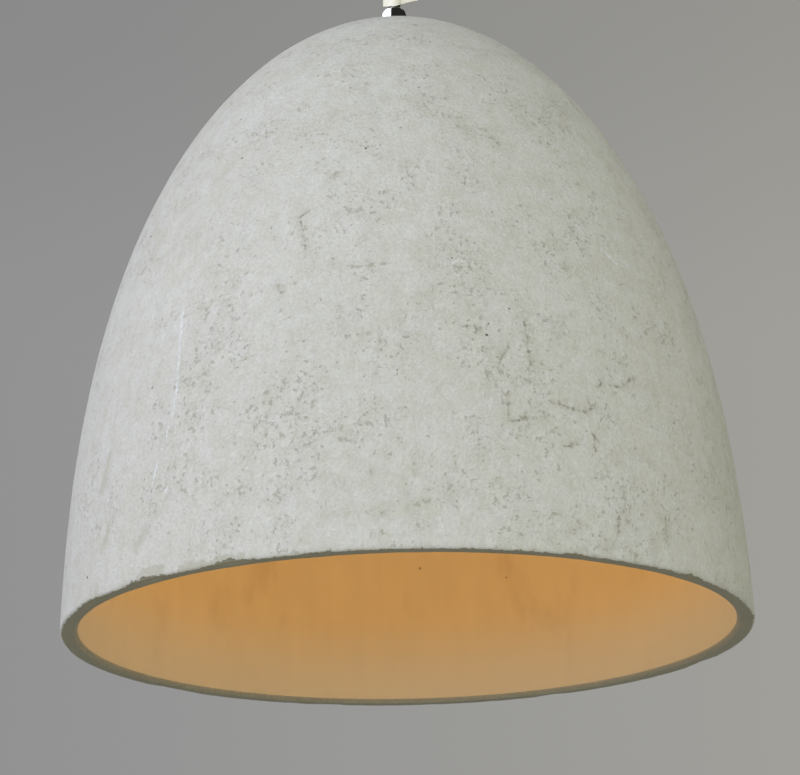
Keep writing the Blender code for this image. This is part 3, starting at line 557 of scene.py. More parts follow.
def paper_look():
    """Uncoated card: long pale fibres, a few darker flecks and soft creases."""
    look = Recipe("tag_paper", Subsurface_Weight=0.08, Subsurface_Radius=(0.002, 0.002, 0.0015))
    fibre = look.noise(0.5 * MM, 3, stretch=(1, 1, 0.2))
    cloud = look.noise(7 * MM, 3)
    fleck = look.step(look.cells(1.6 * MM), 0.16, 0.05)
    base = look.tint(look.tint((0.87, 0.85, 0.77), cloud, 0.05), fibre, 0.05)
    look.set(Base_Color=look.over(base, (fleck, 0.25, (0.5, 0.44, 0.33))))
    look.set(Roughness=look.between(cloud, 0.75, 0.92))
    look.bump(look.between(fibre, 0, 0.03), look.between(cloud, 0, 0.12))
    return look.material


def glass_look():
    look = Recipe("bulb_glass", Base_Color=(0.97, 0.985, 0.98), IOR=1.5,
                  Transmission_Weight=1.0)
    look.set(Roughness=look.between(look.noise(12 * MM, 3), 0.0, 0.03))
    look.bump(look.between(look.noise(16 * MM, 1), 0, 0.03))
    return look.material


def wire_look(name, colour, spread, rough, glow):
    """Dull wire, which may glow a little."""
    look = Recipe(name, Metallic=1.0, Emission_Color=(1.0, 0.55, 0.2), Emission_Strength=glow)
    look.set(Base_Color=look.tint(colour, look.noise(1 * MM), spread))
    look.set(Roughness=look.between(look.noise(0.6 * MM), rough, 0.5))
    return look.material


# Marks on the dome, as routes through (across, up) in millimetres: across is the arc from the
# front at the rim's radius, to the right, and up is the height above the rim
HAIRLINES = [
    ((26, 103), (33, 104), (33, 100)), ((46, 68), (45, 58)), ((47, 58), (54, 60.5)),
    ((55, 60), (65, 63)), ((68, 69), (74, 68), (83, 67), (90, 70)), ((96, 85), (93, 81)),
    ((99, 83), (107, 83), (115, 90)), ((57, 108), (57.5, 92), (58, 86)), ((48, 96), (42, 84)),
    ((72, 49), (77, 51.5)), ((87, 56), (87, 48)), ((97, 21), (96, 12.5), (92, 5)),
    ((126, 24), (125, 12.5)), ((-49, 170), (-52.5, 166), (-50.5, 159), (-48, 147)),
    ((-62, 130), (-59, 125.5)),
]
PINHOLES = [  # with their radii
    ((38, 99.5), 0.55), ((50, 114), 0.4), ((-19, 205), 0.5), ((24, 139), 0.35),
]
PALE_SCRATCHES = [
    ((-117, 129), (-115, 103), (-114, 87), (-115, 76)), ((-117, 70), (-118, 66)),
    ((-122, 56), (-125, 43)), ((-114.5, 41), (-116, 38.5)), ((111, 159), (120, 152)),
    ((24, 136), (27, 138)), ((34, 137), (35, 134)),
]
PITTED = [
    ((-30, 51), (-26, 52)), ((-4, 50), (-2, 46)), ((5, 44), (4, 35)), ((-9, 43), (-7, 41)),
    ((-16, 36), (-14, 34)), ((-35, 34), (-27, 29)), ((20, 40), (20, 38)), ((18, 24), (18, 21)),
    ((-1, 27), (-1, 22)), ((-15, 16), (-10, 17)), ((-30, 16), (-27, 17)), ((1, 18), (10, 21)),
    ((-14, 7), (-9, 8)), ((-93, 83), (-92, 84)), ((-89, 76), (-88, 77)), ((-79, 57), (-78, 55)),
]
SHADOW_STREAKS = [((-162, 68), (-168, 52)), ((-155, 36), (-162, 22)), ((-128, 24), (-134, 16))]
FLAKES = [  # with their half widths
    ((-129, 2.5), (-118, 3.5), 3.6), ((-105, 1), (-92, 2), 2.6), ((-88, 1.5), (-74, 1.5), 2.4),
]


def on_skin(mark):
    """A mark's end, in millimetres, as a place on the unrolled surface."""
    return (mark[0] * MM, mark[1] * MM, 0)


def pale_skin(look, cloud, brushed, grain):
    """The cement skin's colour: broad and small clouds, then brushing and grain."""
    mottle = look.noise(8 * MM, 4, 0.65, shift=(0.5, 0.3, 0))
    pale = look.mix(look.noise(0.11, 2), (0.530, 0.532, 0.488), (0.610, 0.615, 0.600))
    pale = look.over(pale, (look.step(cloud, 0.42, 0.72), 0.35, (0.500, 0.497, 0.435)),
                     (look.step(mottle, 0.48, 0.70), 0.30, (0.480, 0.475, 0.395)),
                     (look.step(mottle, 0.52, 0.34), 0.30, (0.630, 0.635, 0.655)))
    return look.tint(look.tint(pale, brushed, 0.06), grain, 0.24)


def placed_marks(look, crumbs, unrolled, loose):
    """Masks of the listed marks: streaks, flakes, scratches, hairlines and pinholes."""
    shaken = look.wandering(unrolled, 1.8 * MM, 1.1 * MM)
    broken = look.between(look.step(crumbs, 0.42, 0.60), 0.25, 1.0)
    streaks = look.marks(SHADOW_STREAKS, loose, 4.5, 0.5)
    flakes = look.most(*[look.marks([(a, b)], loose, half, half - 1.4) for a, b, half in FLAKES])
    scratches = look.times(look.marks(PALE_SCRATCHES, shaken, 1.0, 0.2), broken)
    hairlines = look.times(look.marks(HAIRLINES, shaken, 1.0, 0.2), broken)
    pinholes = look.most(*[
        look.marks([(at, (at[0] + 0.1, at[1]))], unrolled, 1.35 * radius, 0.8 * radius)
        for at, radius in PINHOLES
    ])
    return streaks, flakes, scratches, hairlines, pinholes


def worn_skin(look, pale, cloud, crumbs, dusty):
    """The skin's colour with all its wear and marks, with painted shade in its pits, creases,
    cracks and holes, and the bump of the wear.
    """
    unrolled = look.attribute("unrolled")
    loose = look.wandering(unrolled, 5 * MM, 3 * MM)
    streaks, flakes, scratches, hairlines, pinholes = placed_marks(look, crumbs, unrolled, loose)
    clusters = look.step(look.noise(24 * MM, 3, 0.6, shift=(0, 0.2, 0)), 0.34, 0.64)
    halos = look.marks(HAIRLINES + PITTED, loose, 4.5, 0.3)
    limit = look.between(look.math("MAXIMUM", clusters, halos), 0.74, 0.585)
    shaded_pits = look.step(look.math("SUBTRACT", crumbs, limit), 0.0, 0.045)
    worn_off = look.step(look.noise(6 * MM, 4, 0.7, shift=(0.7, 0, 0.1)), 0.60, 0.70)
    crease = look.math("ABSOLUTE", look.math("SUBTRACT", look.noise(17 * MM, 4, 0.65), 0.5))
    shaded_creases = look.times(look.step(crease, 0.016, 0.003), clusters)
    holes = look.times(look.step(look.cells(17 * MM, (0.1, 0.2, 0)), 0.055, 0.03),
                       look.step(cloud, 0.46, 0.56))

    # Pits and creases are darkened with painted shade.
    worn = look.over(pale, (worn_off, 0.16, (0.40, 0.39, 0.31)), (shaded_pits, 0.42, (0.28, 0.265, 0.20)),
                     (shaded_creases, 0.22, (0.29, 0.28, 0.22)),
                     (halos, look.between(crumbs, -0.1, 0.5), (0.39, 0.38, 0.30)),
                     (streaks, 0.4, (0.40, 0.39, 0.31)))
    worn = look.mix(look.math("MAXIMUM", look.times(flakes, 0.6), dusty), worn,
                    (0.40, 0.395, 0.325))
    # The dark of the hairlines, pinholes and blow-holes is painted shade.
    worn = look.over(worn, (scratches, 0.75, (0.74, 0.78, 0.84)),
                     (hairlines, 0.5, (0.21, 0.20, 0.155)),
                     (look.most(pinholes, holes), 0.9, (0.06, 0.06, 0.05)))
    return worn, look.total(look.times(shaded_pits, -0.25), look.times(worn_off, -0.10),
                            look.times(shaded_creases, -0.10))


def bare_concrete_and_shade(look, skin, grain):
    """Darker bare concrete where there is no skin, on the rim's face; its sides and inner round
    are darker still, with painted shade.
    """
    down = look.add("SeparateXYZ", {0: look.add("TexCoord").outputs["Normal"]}).outputs["Z"]
    face = look.mix(look.noise(30 * MM, 3), (0.246, 0.232, 0.164), (0.290, 0.275, 0.198))
    # Faces that don't look down get a darker colour: painted shade.
    raw_and_shaded = look.mix(look.step(down, -0.25, -0.75), (0.175, 0.172, 0.125), face)
    # The inner round gets its own colour, darker than the face: painted shade.
    raw_and_shaded = look.mix(look.step(skin, -5.5 * MM, -7.5 * MM), raw_and_shaded, (0.200, 0.180, 0.125))
    return look.tint(raw_and_shaded, grain, 0.30)


def concrete_look():
    """Dry cast concrete: pale cement skin with sand pores, blow-holes, hairlines and scratches,
    and bare darker concrete on the rim and where the edge is chipped. The pores, creases,
    blow-holes and hairlines are darkened with painted shade, and so are the rim's sides and
    inner round."""
    look = Recipe("concrete", Specular_IOR_Level=0.3)
    cloud = look.noise(26 * MM, 4, 0.6)
    brushed = look.noise(5 * MM, 3, 0.6, stretch=(1, 1, 0.12))
    grain = look.noise(1.5 * MM, 3, 0.75)
    crumbs = look.noise(2.4 * MM, 2, 0.6, shift=(0.3, 0.1, 0))
    skin = look.attribute("skin", "Fac")
    fray = look.math("ADD", skin, look.between(crumbs, -2.0 * MM, 2.0 * MM))
    bare = look.step(fray, 0.10 * MM, -0.10 * MM)
    dusty = look.times(look.step(fray, 3.5 * MM, 0.0), 0.3)
    worn, depth = worn_skin(look, pale_skin(look, cloud, brushed, grain), cloud, crumbs, dusty)
    look.set(Base_Color=look.mix(bare, worn, bare_concrete_and_shade(look, skin, grain)))
    look.set(Roughness=look.between(grain, 0.82, 0.98))
    look.bump(depth, look.between(grain, 0, 0.50), look.between(crumbs, 0, 0.55),
              look.between(brushed, 0, 0.18), look.between(cloud, 0, 0.9))
    return look.material


def ochre_look():
    """Flat ochre paint on the cast inside: soft mottling, faint brush drag, smudges, pinholes
    darkened with painted shade, and a paler, greyer tone toward the rim that is painted light
    from outside the dome."""
    look = Recipe("ochre_paint", Specular_IOR_Level=0.25)
    cloud = look.noise(22 * MM, 3, stretch=(1, 1, 0.6))
    drag = look.noise(9 * MM, 2, stretch=(1, 1, 0.22))
    smudge = look.noise(26 * MM, 3, stretch=(1, 1, 0.45), shift=(0.2, 0.6, 0))
    holes = look.step(look.cells(26 * MM, (0.4, 0, 0.1)), 0.036, 0.018)
    # Paler toward the rim: painted light from outside the dome.
    painted_rim_light = look.step(look.attribute("above_rim", "Fac"), 60 * MM, 2 * MM)
    paint = look.mix(look.noise(60 * MM, 2), (0.382, 0.229, 0.083), (0.412, 0.254, 0.097))
    paint = look.tint(look.tint(paint, cloud, 0.05), drag, 0.06)
    # The pinholes' dark is painted shade.
    paint = look.over(paint, (look.step(smudge, 0.55, 0.75), 0.30, (0.25, 0.135, 0.045)),
                      (painted_rim_light, 0.6, (0.352, 0.302, 0.208)), (holes, 0.8, (0.10, 0.06, 0.03)))
    look.set(Base_Color=paint, Roughness=look.between(cloud, 0.58, 0.78))
    look.bump(look.between(cloud, 0, 0.20), look.between(drag, 0, 0.05), look.times(holes, -0.5))
    return look.material


def floor_look():
    look = Recipe("studio_floor")
    look.set(Base_Color=look.tint((0.86, 0.86, 0.85), look.noise(0.6, 3), 0.02))
    look.set(Roughness=look.between(look.noise(0.05, 2), 0.7, 0.85))
    return look.material


METALS = {
    "chrome": ((0.80, 0.81, 0.83), 0.075, 0.02, 0.3),
    "zinc_steel": ((0.60, 0.61, 0.60), 0.32, 0.10, 1.0, 4 * MM),
    "brass": ((0.72, 0.53, 0.24), 0.24, 0.12, 0.8, 3 * MM),
}
PLASTICS = {
    "black_rubber": ((0.018, 0.018, 0.018), 0.7, 0.03),
    "black_sheath": ((0.014, 0.014, 0.016), 0.45, 0.02, 0.4 * MM),
    "white_plastic": ((0.74, 0.73, 0.69), 0.36, 0.015),
    "brown_core": ((0.15, 0.055, 0.028), 0.4, 0.01),
    "blue_core": ((0.03, 0.13, 0.46), 0.4, 0.01),
    "earth_core": ((0.25, 0.42, 0.05), 0.4, 0.01),
    "porcelain": ((0.78, 0.76, 0.70), 0.34, 0.02, 0.9 * MM, 0.05),
    "black_glass": ((0.012, 0.012, 0.015), 0.14, 0.004),
}
LOOKS = {
    "concrete": concrete_look(),
    "ochre_paint": ochre_look(),
    "bulb_glass": glass_look(),
    "tag_paper": paper_look(),
    "tungsten": wire_look("tungsten", (0.36, 0.34, 0.31), 0.15, 0.3, 0.0),
    **{name: metal_look(name, *numbers) for name, numbers in METALS.items()},
    **{name: plastic_look(name, *numbers) for name, numbers in PLASTICS.items()},
}


# ---------------------------------------------------------------- camera, light, surroundings

def make_camera():
    data = bpy.data.cameras.new("camera")
    data.lens = CAMERA_LENS
    data.sensor_width = 36
    data.clip_start = 0.01
    obj = link(bpy.data.objects.new("camera", data))
    aim = (Matrix.Rotation(CAMERA_YAW, 4, "Z") @ Matrix.Rotation(math.pi / 2 + CAMERA_PITCH, 4, "X")
           @ Matrix.Rotation(CAMERA_ROLL, 4, "Z"))
    place = Matrix.Translation((0, -CAMERA_BACK, -CAMERA_DROP))
    about_rim = Matrix.Translation((0, 0, RIM_Z)) @ Matrix.Rotation(CAMERA_LEAN, 4, "Y")
    obj.matrix_world = about_rim @ place @ aim
    bpy.context.scene.camera = obj


def soft_box(name, azimuth, distance, height, size, power, colour):
    """A square soft light aimed at the dome's middle; azimuth in degrees from the front, to the
    right, and height above the dome's middle."""
    data = bpy.data.lights.new(name, "AREA")
    data.size = size
    data.energy = power
    data.color = colour
    obj = link(bpy.data.objects.new(name, data))
    middle = Vector((0, 0, 0.5 * (RIM_Z + CROWN_SEAT)))
    turn = math.radians(azimuth)
    place = middle + Vector((distance * math.sin(turn), -distance * math.cos(turn), height))
    aim = (middle - place).to_track_quat("-Z", "Y").to_matrix().to_4x4()
    obj.matrix_world = Matrix.Translation(place) @ aim
    obj.visible_camera = False


def make_lights():
    soft_box("key_left", -62, 2.2, 0, 1.6, 22.2, (0.940, 0.925, 1.0))
    soft_box("fill_front", 3, 2.2, 0, 1.6, 15.8, (0.96, 1.0, 0.985))
    soft_box("fill_right", 64, 2.2, -0.35, 1.6, 6.6, (1.0, 0.955, 0.46))
    soft_box("top_left", -94, 1.8, 1.3, 1.0, 8.4, (0.84, 0.90, 1.0))
    soft_box("top_front", -15, 1.6, 1.7, 1.2, 10.6, (0.95, 0.965, 1.0))
    soft_box("fill_low", 8, 1.5, -1.2, 1.2, 3.5, (1.0, 1.0, 0.97))
    soft_box("back", 170, 2.4, 0.3, 1.8, 18.0, (1.0, 1.0, 0.90))
    for word, side, power in (("left", -1, 0.42), ("right", 1, 0.475)):
        glow = bpy.data.lights.new(f"bulb_glow_{word}", "POINT")
        glow.energy = power
        glow.color = (1.0, 0.90, 0.75)
        glow.shadow_soft_size = 25 * MM
        lamp = link(bpy.data.objects.new(f"bulb_glow_{word}", glow))
        lamp.location = (side * 35 * MM, 0, RIM_Z + 75 * MM)
        lamp.visible_camera = False
        lamp.visible_glossy = False
        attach(lamp, "shade")


def make_world():
    """Even grey surroundings, a little brighter and warmer to the right and dimmer high up; shiny
    pieces reflect a darker room."""
    world = bpy.data.worlds.new("studio")
    world.use_nodes = True
    nodes = Nodes(world.node_tree)
    way = nodes.add("SeparateXYZ", {0: nodes.add("TexCoord").outputs["Generated"]})
    across = nodes.add("MapRange", {"Value": way.outputs["X"], "From Min": -0.22,
                                    "From Max": 0.22}).outputs["Result"]
    high_up = nodes.add("MapRange", {
        "Value": way.outputs["Z"], "From Min": 0.36, "From Max": 0.58,
        "To Min": 1.0, "To Max": 0.86,
    }, interpolation_type="SMOOTHSTEP").outputs["Result"]
    shiny = nodes.add("MapRange", {
        "Value": nodes.add("LightPath").outputs["Is Glossy Ray"], "To Min": 1.0, "To Max": 0.07,
    }).outputs["Result"]
    grey = nodes.add("Mix", {0: across, 6: (0.290, 0.290, 0.295), 7: (0.350, 0.345, 0.322)},
                     data_type="RGBA").outputs[2]
    share = nodes.add("Math", {0: high_up, 1: shiny}, operation="MULTIPLY").outputs[0]
    background = nodes.tree.nodes["Background"]
    nodes.feed(background.inputs["Color"], grey)
    nodes.feed(background.inputs["Strength"], share)
    bpy.context.scene.world = world
    bpy.context.scene.view_settings.view_transform = "Standard"


def make_floor():
    shape = bmesh.new()
    bmesh.ops.create_circle(shape, cap_ends=True, segments=96, radius=FLOOR_RADIUS)
    floor = finish_mesh("studio_floor", shape)
    floor.location.z = -FLOOR_DROP
    floor.data.materials.append(floor_look())


# ---------------------------------------------------------------- shade

SHADE_SEGMENTS = 640
# Chips along the rim's outer edge: (degrees round from the front, half width in degrees, depth)
CHIPS = [(-90, 2.2, 1.5 * MM), (-58, 4.0, 0.9 * MM), (-42, 5.0, 1.3 * MM), (-26, 4.5, 1.1 * MM),
         (-12, 3.0, 0.5 * MM), (24, 2.0, 0.6 * MM), (47, 3.0, 0.8 * MM), (78, 3.0, 0.9 * MM),
         (112, 5.0, 1.2 * MM), (150, 4.0, 1.0 * MM), (-130, 6.0, 1.1 * MM), (-165, 3.0, 0.8 * MM)]


def evened(points, step_at):
    """The chain re-cut so that each step is as long as step_at(distance from its start)."""
    chain = np.array(points, float)
    lengths = np.concatenate([[0], np.cumsum(np.linalg.norm(np.diff(chain, axis=0), axis=1))])
    stops = [0.0]
    while stops[-1] < lengths[-1]:
        stops.append(stops[-1] + step_at(stops[-1]))
    stops = np.array(stops) * lengths[-1] / stops[-1]
    return np.stack([np.interp(stops, lengths, chain[:, k]) for k in (0, 1)], -1)


def dome_curve(rim_radius, height, stop_radius, steps=600):
    """(radius, height above the rim) from the rim up to stop_radius."""
    turn = np.linspace(0, math.acos(stop_radius / rim_radius), steps)
    return list(zip(rim_radius * np.cos(turn), height * np.sin(turn) ** (2 / DOME_POWER)))


def shade_rows():
    """The shade's outline as rows (radius, height above the rim), each row's distance up the
    outside from the outer edge, which is negative across the rim, the first row of the painted
    inside and the first row of the bare rim."""
    inner_radius, inner_height = RIM_RADIUS - RIM_WALL, DOME_HEIGHT - CROWN_WALL
    outer = [p for p in dome_curve(RIM_RADIUS, DOME_HEIGHT, CROWN_SEAT_RADIUS)
             if p[1] > RIM_OUTER_ROUND]
    inner = [p for p in dome_curve(inner_radius, inner_height, CROWN_INNER_SEAT_RADIUS)
             if p[1] > RIM_INNER_ROUND]
    low_outer = arc(RIM_RADIUS - RIM_OUTER_ROUND, RIM_OUTER_ROUND, RIM_OUTER_ROUND, -90, 0, 8)
    low_inner = arc(inner_radius + RIM_INNER_ROUND, RIM_INNER_ROUND, RIM_INNER_ROUND,
                    180, 270, 12)
    outside = evened(low_outer + outer, lambda s: 0.45 * MM if s < 9 * MM else 2.0 * MM)
    crown = evened([outer[-1], (CROWN_HOLE_RADIUS, outer[-1][1]),
                    (CROWN_HOLE_RADIUS, inner[-1][1]), inner[-1]], lambda s: 2.2 * MM)[1:-1]
    inside = evened(inner[::-1], lambda s: 4.5 * MM)
    rim = evened(low_inner[1:] + [low_outer[0]], lambda s: 0.5 * MM)[:-1]
    rows = np.concatenate([outside, crown, inside, rim])
    steps = np.linalg.norm(np.diff(rows, axis=0), axis=1)
    along = np.concatenate([[0], np.cumsum(steps)])
    total = along[-1] + np.linalg.norm(rows[0] - rows[-1])
    painted = len(outside) + len(crown)
    raw_start = painted + len(inside)
    along[raw_start:] -= total
    return rows, along, painted, raw_start


def fractal(points, size, octaves=3):
    """Noise of about -1 to 1 at each point, with bumps about `size` across."""
    scaled = np.asarray(points) / size
    return np.array([noise.fractal(Vector(p), 1.0, 2.0, octaves) for p in scaled])


def edge_wear(angle):
    """How deep the rim's outer edge is chipped at each angle round from the front, in metres."""
    at_rim = np.stack([np.sin(angle), -np.cos(angle), 0 * angle], -1) * RIM_RADIUS
    wear = 0.30 * MM * np.clip(fractal(at_rim, 9 * MM), 0, None)
    wear += 0.22 * MM * np.clip(fractal(at_rim + 5, 3 * MM), 0, None)
    for middle, half, depth in CHIPS:
        away = np.degrees(np.abs(np.angle(np.exp(1j * (angle - math.radians(middle))))))
        share = np.clip(1 - away / half, 0, 1)
        wear += depth * share ** 0.6 * (0.75 + 0.25 * fractal(at_rim + 9, 4 * MM))
    return wear


def uneven_surface(rows, along, angle, wear):
    """The outline swept round the axis, as (x, y, z) for each column and row. The skin swells a
    little, less at the rim and not on the crown's seats, and the rim's outer edge is chipped."""
    ahead, behind = np.roll(rows, -1, 0), np.roll(rows, 1, 0)
    tangent = (ahead - behind) / np.linalg.norm(ahead - behind, axis=1)[:, None]
    normal = np.stack([tangent[:, 1], -tangent[:, 0]], -1)

    def swept(r, z):
        r, z, a = np.broadcast_arrays(r, z, angle[:, None])
        return np.stack([r * np.sin(a), -r * np.cos(a), z], -1)

    even = swept(rows[:, 0], rows[:, 1])
    swell = sum(height * MM * fractal(even.reshape(-1, 3), size * MM, 2).reshape(even.shape[:2])
                for size, height in ((70, 0.16), (17, 0.07), (5, 0.035)))
    fade = np.clip(np.abs(along) / (4 * MM), 0.3, 1)
    off_seat = rows[:, 0] >= CROWN_INNER_SEAT_RADIUS + 1 * MM
    swell = swell * fade * off_seat

    chipped = wear[:, None] * np.exp(-(along / (1.5 * MM)) ** 2)
    outward = np.clip((along + 1 * MM) / (2 * MM), 0, 1)
    return swept(rows[:, 0] + normal[:, 0] * swell - chipped * (0.35 + 0.65 * outward),
                 rows[:, 1] + normal[:, 1] * swell + chipped * (1 - 0.6 * outward) + RIM_Z)


def store(mesh, name, values):
    """Keeps a number or a vector for each vertex, for the materials."""
    kind, key = ("FLOAT_VECTOR", "vector") if values.ndim == 3 else ("FLOAT", "value")
    mesh.attributes.new(name, kind, "POINT").data.foreach_set(key, values.ravel())


def make_shade():
    rows, along, painted, raw_start = shade_rows()
    count = len(rows)
    angle = -math.pi + np.arange(SHADE_SEGMENTS) * 2 * math.pi / SHADE_SEGMENTS
    wear = edge_wear(angle)
    points = uneven_surface(rows, along, angle, wear)

    column = np.arange(SHADE_SEGMENTS)[:, None] * count
    beside = np.roll(column, -1, 0)
    row = np.arange(count)[None, :]
    above = np.roll(row, -1, 1)
    faces = np.stack([column + row, beside + row, beside + above, column + above], -1)
    mesh = bpy.data.meshes.new("shade_cast")
    mesh.from_pydata(points.reshape(-1, 3).tolist(), [], faces.reshape(-1, 4).tolist())
    mesh.shade_smooth()

    # Distance up from the frayed edge of the cement skin: below zero the concrete is bare
    skin = along - (0.10 * MM + 2.2 * wear)[:, None]
    skin[:, painted:] = -5 * MM
    # The inner round's rows go further below zero, where the material gives them painted shade.
    skin[:, raw_start:] -= 3 * MM * np.clip(rows[raw_start:, 1] / (1.6 * MM), 0, 1)
    skin[:, -1] = np.minimum(skin[:, -1], -1 * MM)
    across, height = np.broadcast_arrays(angle[:, None] * RIM_RADIUS, rows[:, 1])
    marked = np.where(np.abs(angle[:, None]) < 2.6, height, -1.0)
    store(mesh, "skin", skin)
    store(mesh, "above_rim", height)
    store(mesh, "unrolled", np.stack([across, marked, 0 * marked], -1))

    settle(link(bpy.data.objects.new("shade_cast", mesh)), "concrete", "shade")
    mesh.materials.append(LOOKS["ochre_paint"])
    slots = np.zeros((SHADE_SEGMENTS, count), int)
    slots[:, painted:raw_start] = 1
    mesh.polygons.foreach_set("material_index", slots.ravel())


# ---------------------------------------------------------------- fittings

def cable_gland(prefix, seat, pointing):
    """Gland body, rubber seal and domed hexagonal nut, mouth up (+1) or down (-1)."""
    def aimed(outline):
        return [(r, seat + pointing * z) for r, z in outline]

    corner = HEX_CORNER_RADIUS
    flange_top, collet_top, height = 8.5 * MM, 16 * MM, 21 * MM
    seal_outer = TUBE_BORE + 0.8 * MM
    body = [
        (TUBE_HOLE, GAP), (corner - 0.7 * MM, GAP), (corner, 0.9 * MM),
        (corner, flange_top - 0.6 * MM), (corner - 0.7 * MM, flange_top),
        (5.5 * MM, flange_top), (5.5 * MM, collet_top), (seal_outer + GAP, collet_top),
        (seal_outer + GAP, 10.5 * MM), (TUBE_BORE, 10.5 * MM), (TUBE_BORE, 8.6 * MM),
        (TUBE_HOLE, 8.6 * MM),
    ]
    shoulder = 3.2 * MM
    mouth = 4.2 * MM
    nut = [
        (5.8 * MM, flange_top + GAP), (corner - 0.7 * MM, flange_top + GAP),
        (corner, flange_top + 0.9 * MM),
        *arc(corner - shoulder, height - shoulder, shoulder, 0, 84, 14),
        (mouth + 0.5 * MM, height), (mouth, height - 0.5 * MM), (mouth, collet_top + 0.6 * MM),
        (5.8 * MM, collet_top + 0.6 * MM),
    ]
    trim = hexagon(corner, HEX_TURN)
    for part, outline in (("body", body), ("dome_nut", nut)):
        fine = divided(rounded(aimed(outline), 0.16 * MM), 0.8 * MM)
        turned_piece(f"{prefix}_gland_{part}", "chrome", fine, 180, trim, 28)
    seal = [(TUBE_BORE, 10.8 * MM), (seal_outer, 10.8 * MM), (seal_outer, collet_top),
            (TUBE_BORE, collet_top)]
    turned_piece(f"{prefix}_gland_seal", "black_rubber", rounded(aimed(seal), 0.2 * MM), 64)


def disc(node, slot, edge):
    """A washer or gasket in its node's box, with its edges rounded by `edge`."""
    (bottom, top), radius = span(node), high(node).x
    ring = [(TUBE_HOLE, bottom), (radius, bottom), (radius, top), (TUBE_HOLE, top)]
    turned_piece(node, slot, rounded(ring, edge, 5), 160)


def lock_nut(node):
    (bottom, top), radius = span(node), high(node).x
    easing, chamfer = 0.9 * MM, 0.6 * MM
    outline = [
        (TUBE_HOLE, bottom), (radius - easing, bottom), (radius, bottom + chamfer),
        (radius, top - chamfer), (radius - easing, top), (TUBE_HOLE, top),
    ]
    fine = divided(rounded(outline, 0.12 * MM), 0.7 * MM)
    turned_piece(node, "zinc_steel", fine, 180, hexagon(radius), 28)


def threaded_tube(node):
    bottom, top = span(node)
    outline = [(TUBE_BORE, bottom), (TUBE_RADIUS, bottom), (TUBE_RADIUS, top), (TUBE_BORE, top)]
    shape = thread(1 * MM, 0.45 * MM, lambda r, z: r > TUBE_RADIUS - 0.1 * MM)
    fine = divided(rounded(outline, 0.15 * MM), 0.2 * MM)
    turned_piece(node, "zinc_steel", fine, 40, shape, 70)


def screw(node, facing, slot):
    """A slotted screw that fills its node's box: domed head towards `facing`, plain shank."""
    size, middle, way = high(node) - low(node), (low(node) + high(node)) / 2, Vector(facing)
    half_length = abs(size.dot(way)) / 2
    head_radius = max(width for width, along in zip(size, way) if not along) / 2
    head_height = min(0.62 * head_radius, 1.2 * half_length)
    shank_radius, foot_easing = 0.56 * head_radius, 0.3 * MM
    crown, under_head = 1.45 * head_radius, half_length - head_height
    outline = [
        *arc(0, half_length - crown, crown, 90, 53, 8),
        (head_radius, half_length - 0.6 * head_height), (head_radius, under_head),
        (shank_radius, under_head), (shank_radius, -half_length + foot_easing),
        (shank_radius - foot_easing, -half_length), (0, -half_length),
    ]
    fine = divided(rounded(outline, 0.1 * MM, 2, closed=False), 0.18 * MM, closed=False)
    shape = thread(0.7 * MM, 0.12 * MM, lambda r, z: np.abs(r - shank_radius) < 1e-6)
    across, half_width = 1.5 * head_radius, 0.16 * head_radius
    slit = block(node + "_slit", (-across, -half_width, half_length - 0.5 * head_height),
                 (across, half_width, half_length + head_radius), 0.02 * MM)
    body = cut(turned(node + "_fine", fine, 40, shape, 40), [slit])
    turn = Vector((0, 0, 1)).rotation_difference(way).to_matrix().to_4x4()
    body.data.transform(Matrix.Translation(middle) @ turn)
    settle(body, slot, node)


def ceiling_rose():
    """The spun cup with a rolled edge, drilled for its two side screws."""
    r, corner, wall = ROSE_RADIUS, 4 * MM, 1 * MM
    top = high("rose_cup").z
    outline = [
        (TUBE_HOLE, ROSE_BOTTOM),
        *arc(r - corner, ROSE_BOTTOM + corner, corner, -90, 0, 14),
        (r, top), (r - wall, top),
        *arc(r - corner, ROSE_BOTTOM + corner, corner - wall, 0, -90, 10),
        (TUBE_HOLE, ROSE_BOTTOM + wall),
    ]
    cup = turned("rose_cup_fine", divided(rounded(outline, 0.35 * MM), 4 * MM), 192)
    screw_z = sum(span("rose_screw_right")) / 2
    holes = [rod(f"rose_hole_{side}", (side * r, 0, screw_z), (1, 0, 0), 2.3 * MM, 12 * MM)
             for side in (-1, 1)]
    settle(cut(cup, holes), "chrome", "rose_cup")
    screw("rose_screw_right", (1, 0, 0), "chrome")
    screw("rose_screw_left", (-1, 0, 0), "chrome")


def rose_inside():
    """Bracket, terminal block and wiring behind the rose."""
    refined("ceiling_bracket", "zinc_steel", 0.25 * MM)
    refined("terminal_block", "white_plastic", 0.25 * MM)
    for pole in ("neutral", "earth", "live"):
        refined(f"terminal_clamp_{pole}", "brass", 0.15 * MM)
        for end in ("supply", "lamp"):
            screw(f"terminal_screw_{pole}_{end}", (0, 0, -1), "zinc_steel")
    screw("earth_screw", (0, 0, -1), "brass")
    for node, slot in (("core_neutral_rose", "blue_core"), ("core_earth_rose", "earth_core"),
                       ("core_live_rose", "brown_core"), ("earth_lead", "earth_core"),
                       ("flex_in_rose", "black_sheath"), ("flex_tail", "black_sheath"),
                       ("core_neutral_holder", "blue_core"), ("core_live_holder", "brown_core"),
                       ("core_earth_holder", "earth_core")):
        smoothed_wire(node, slot)


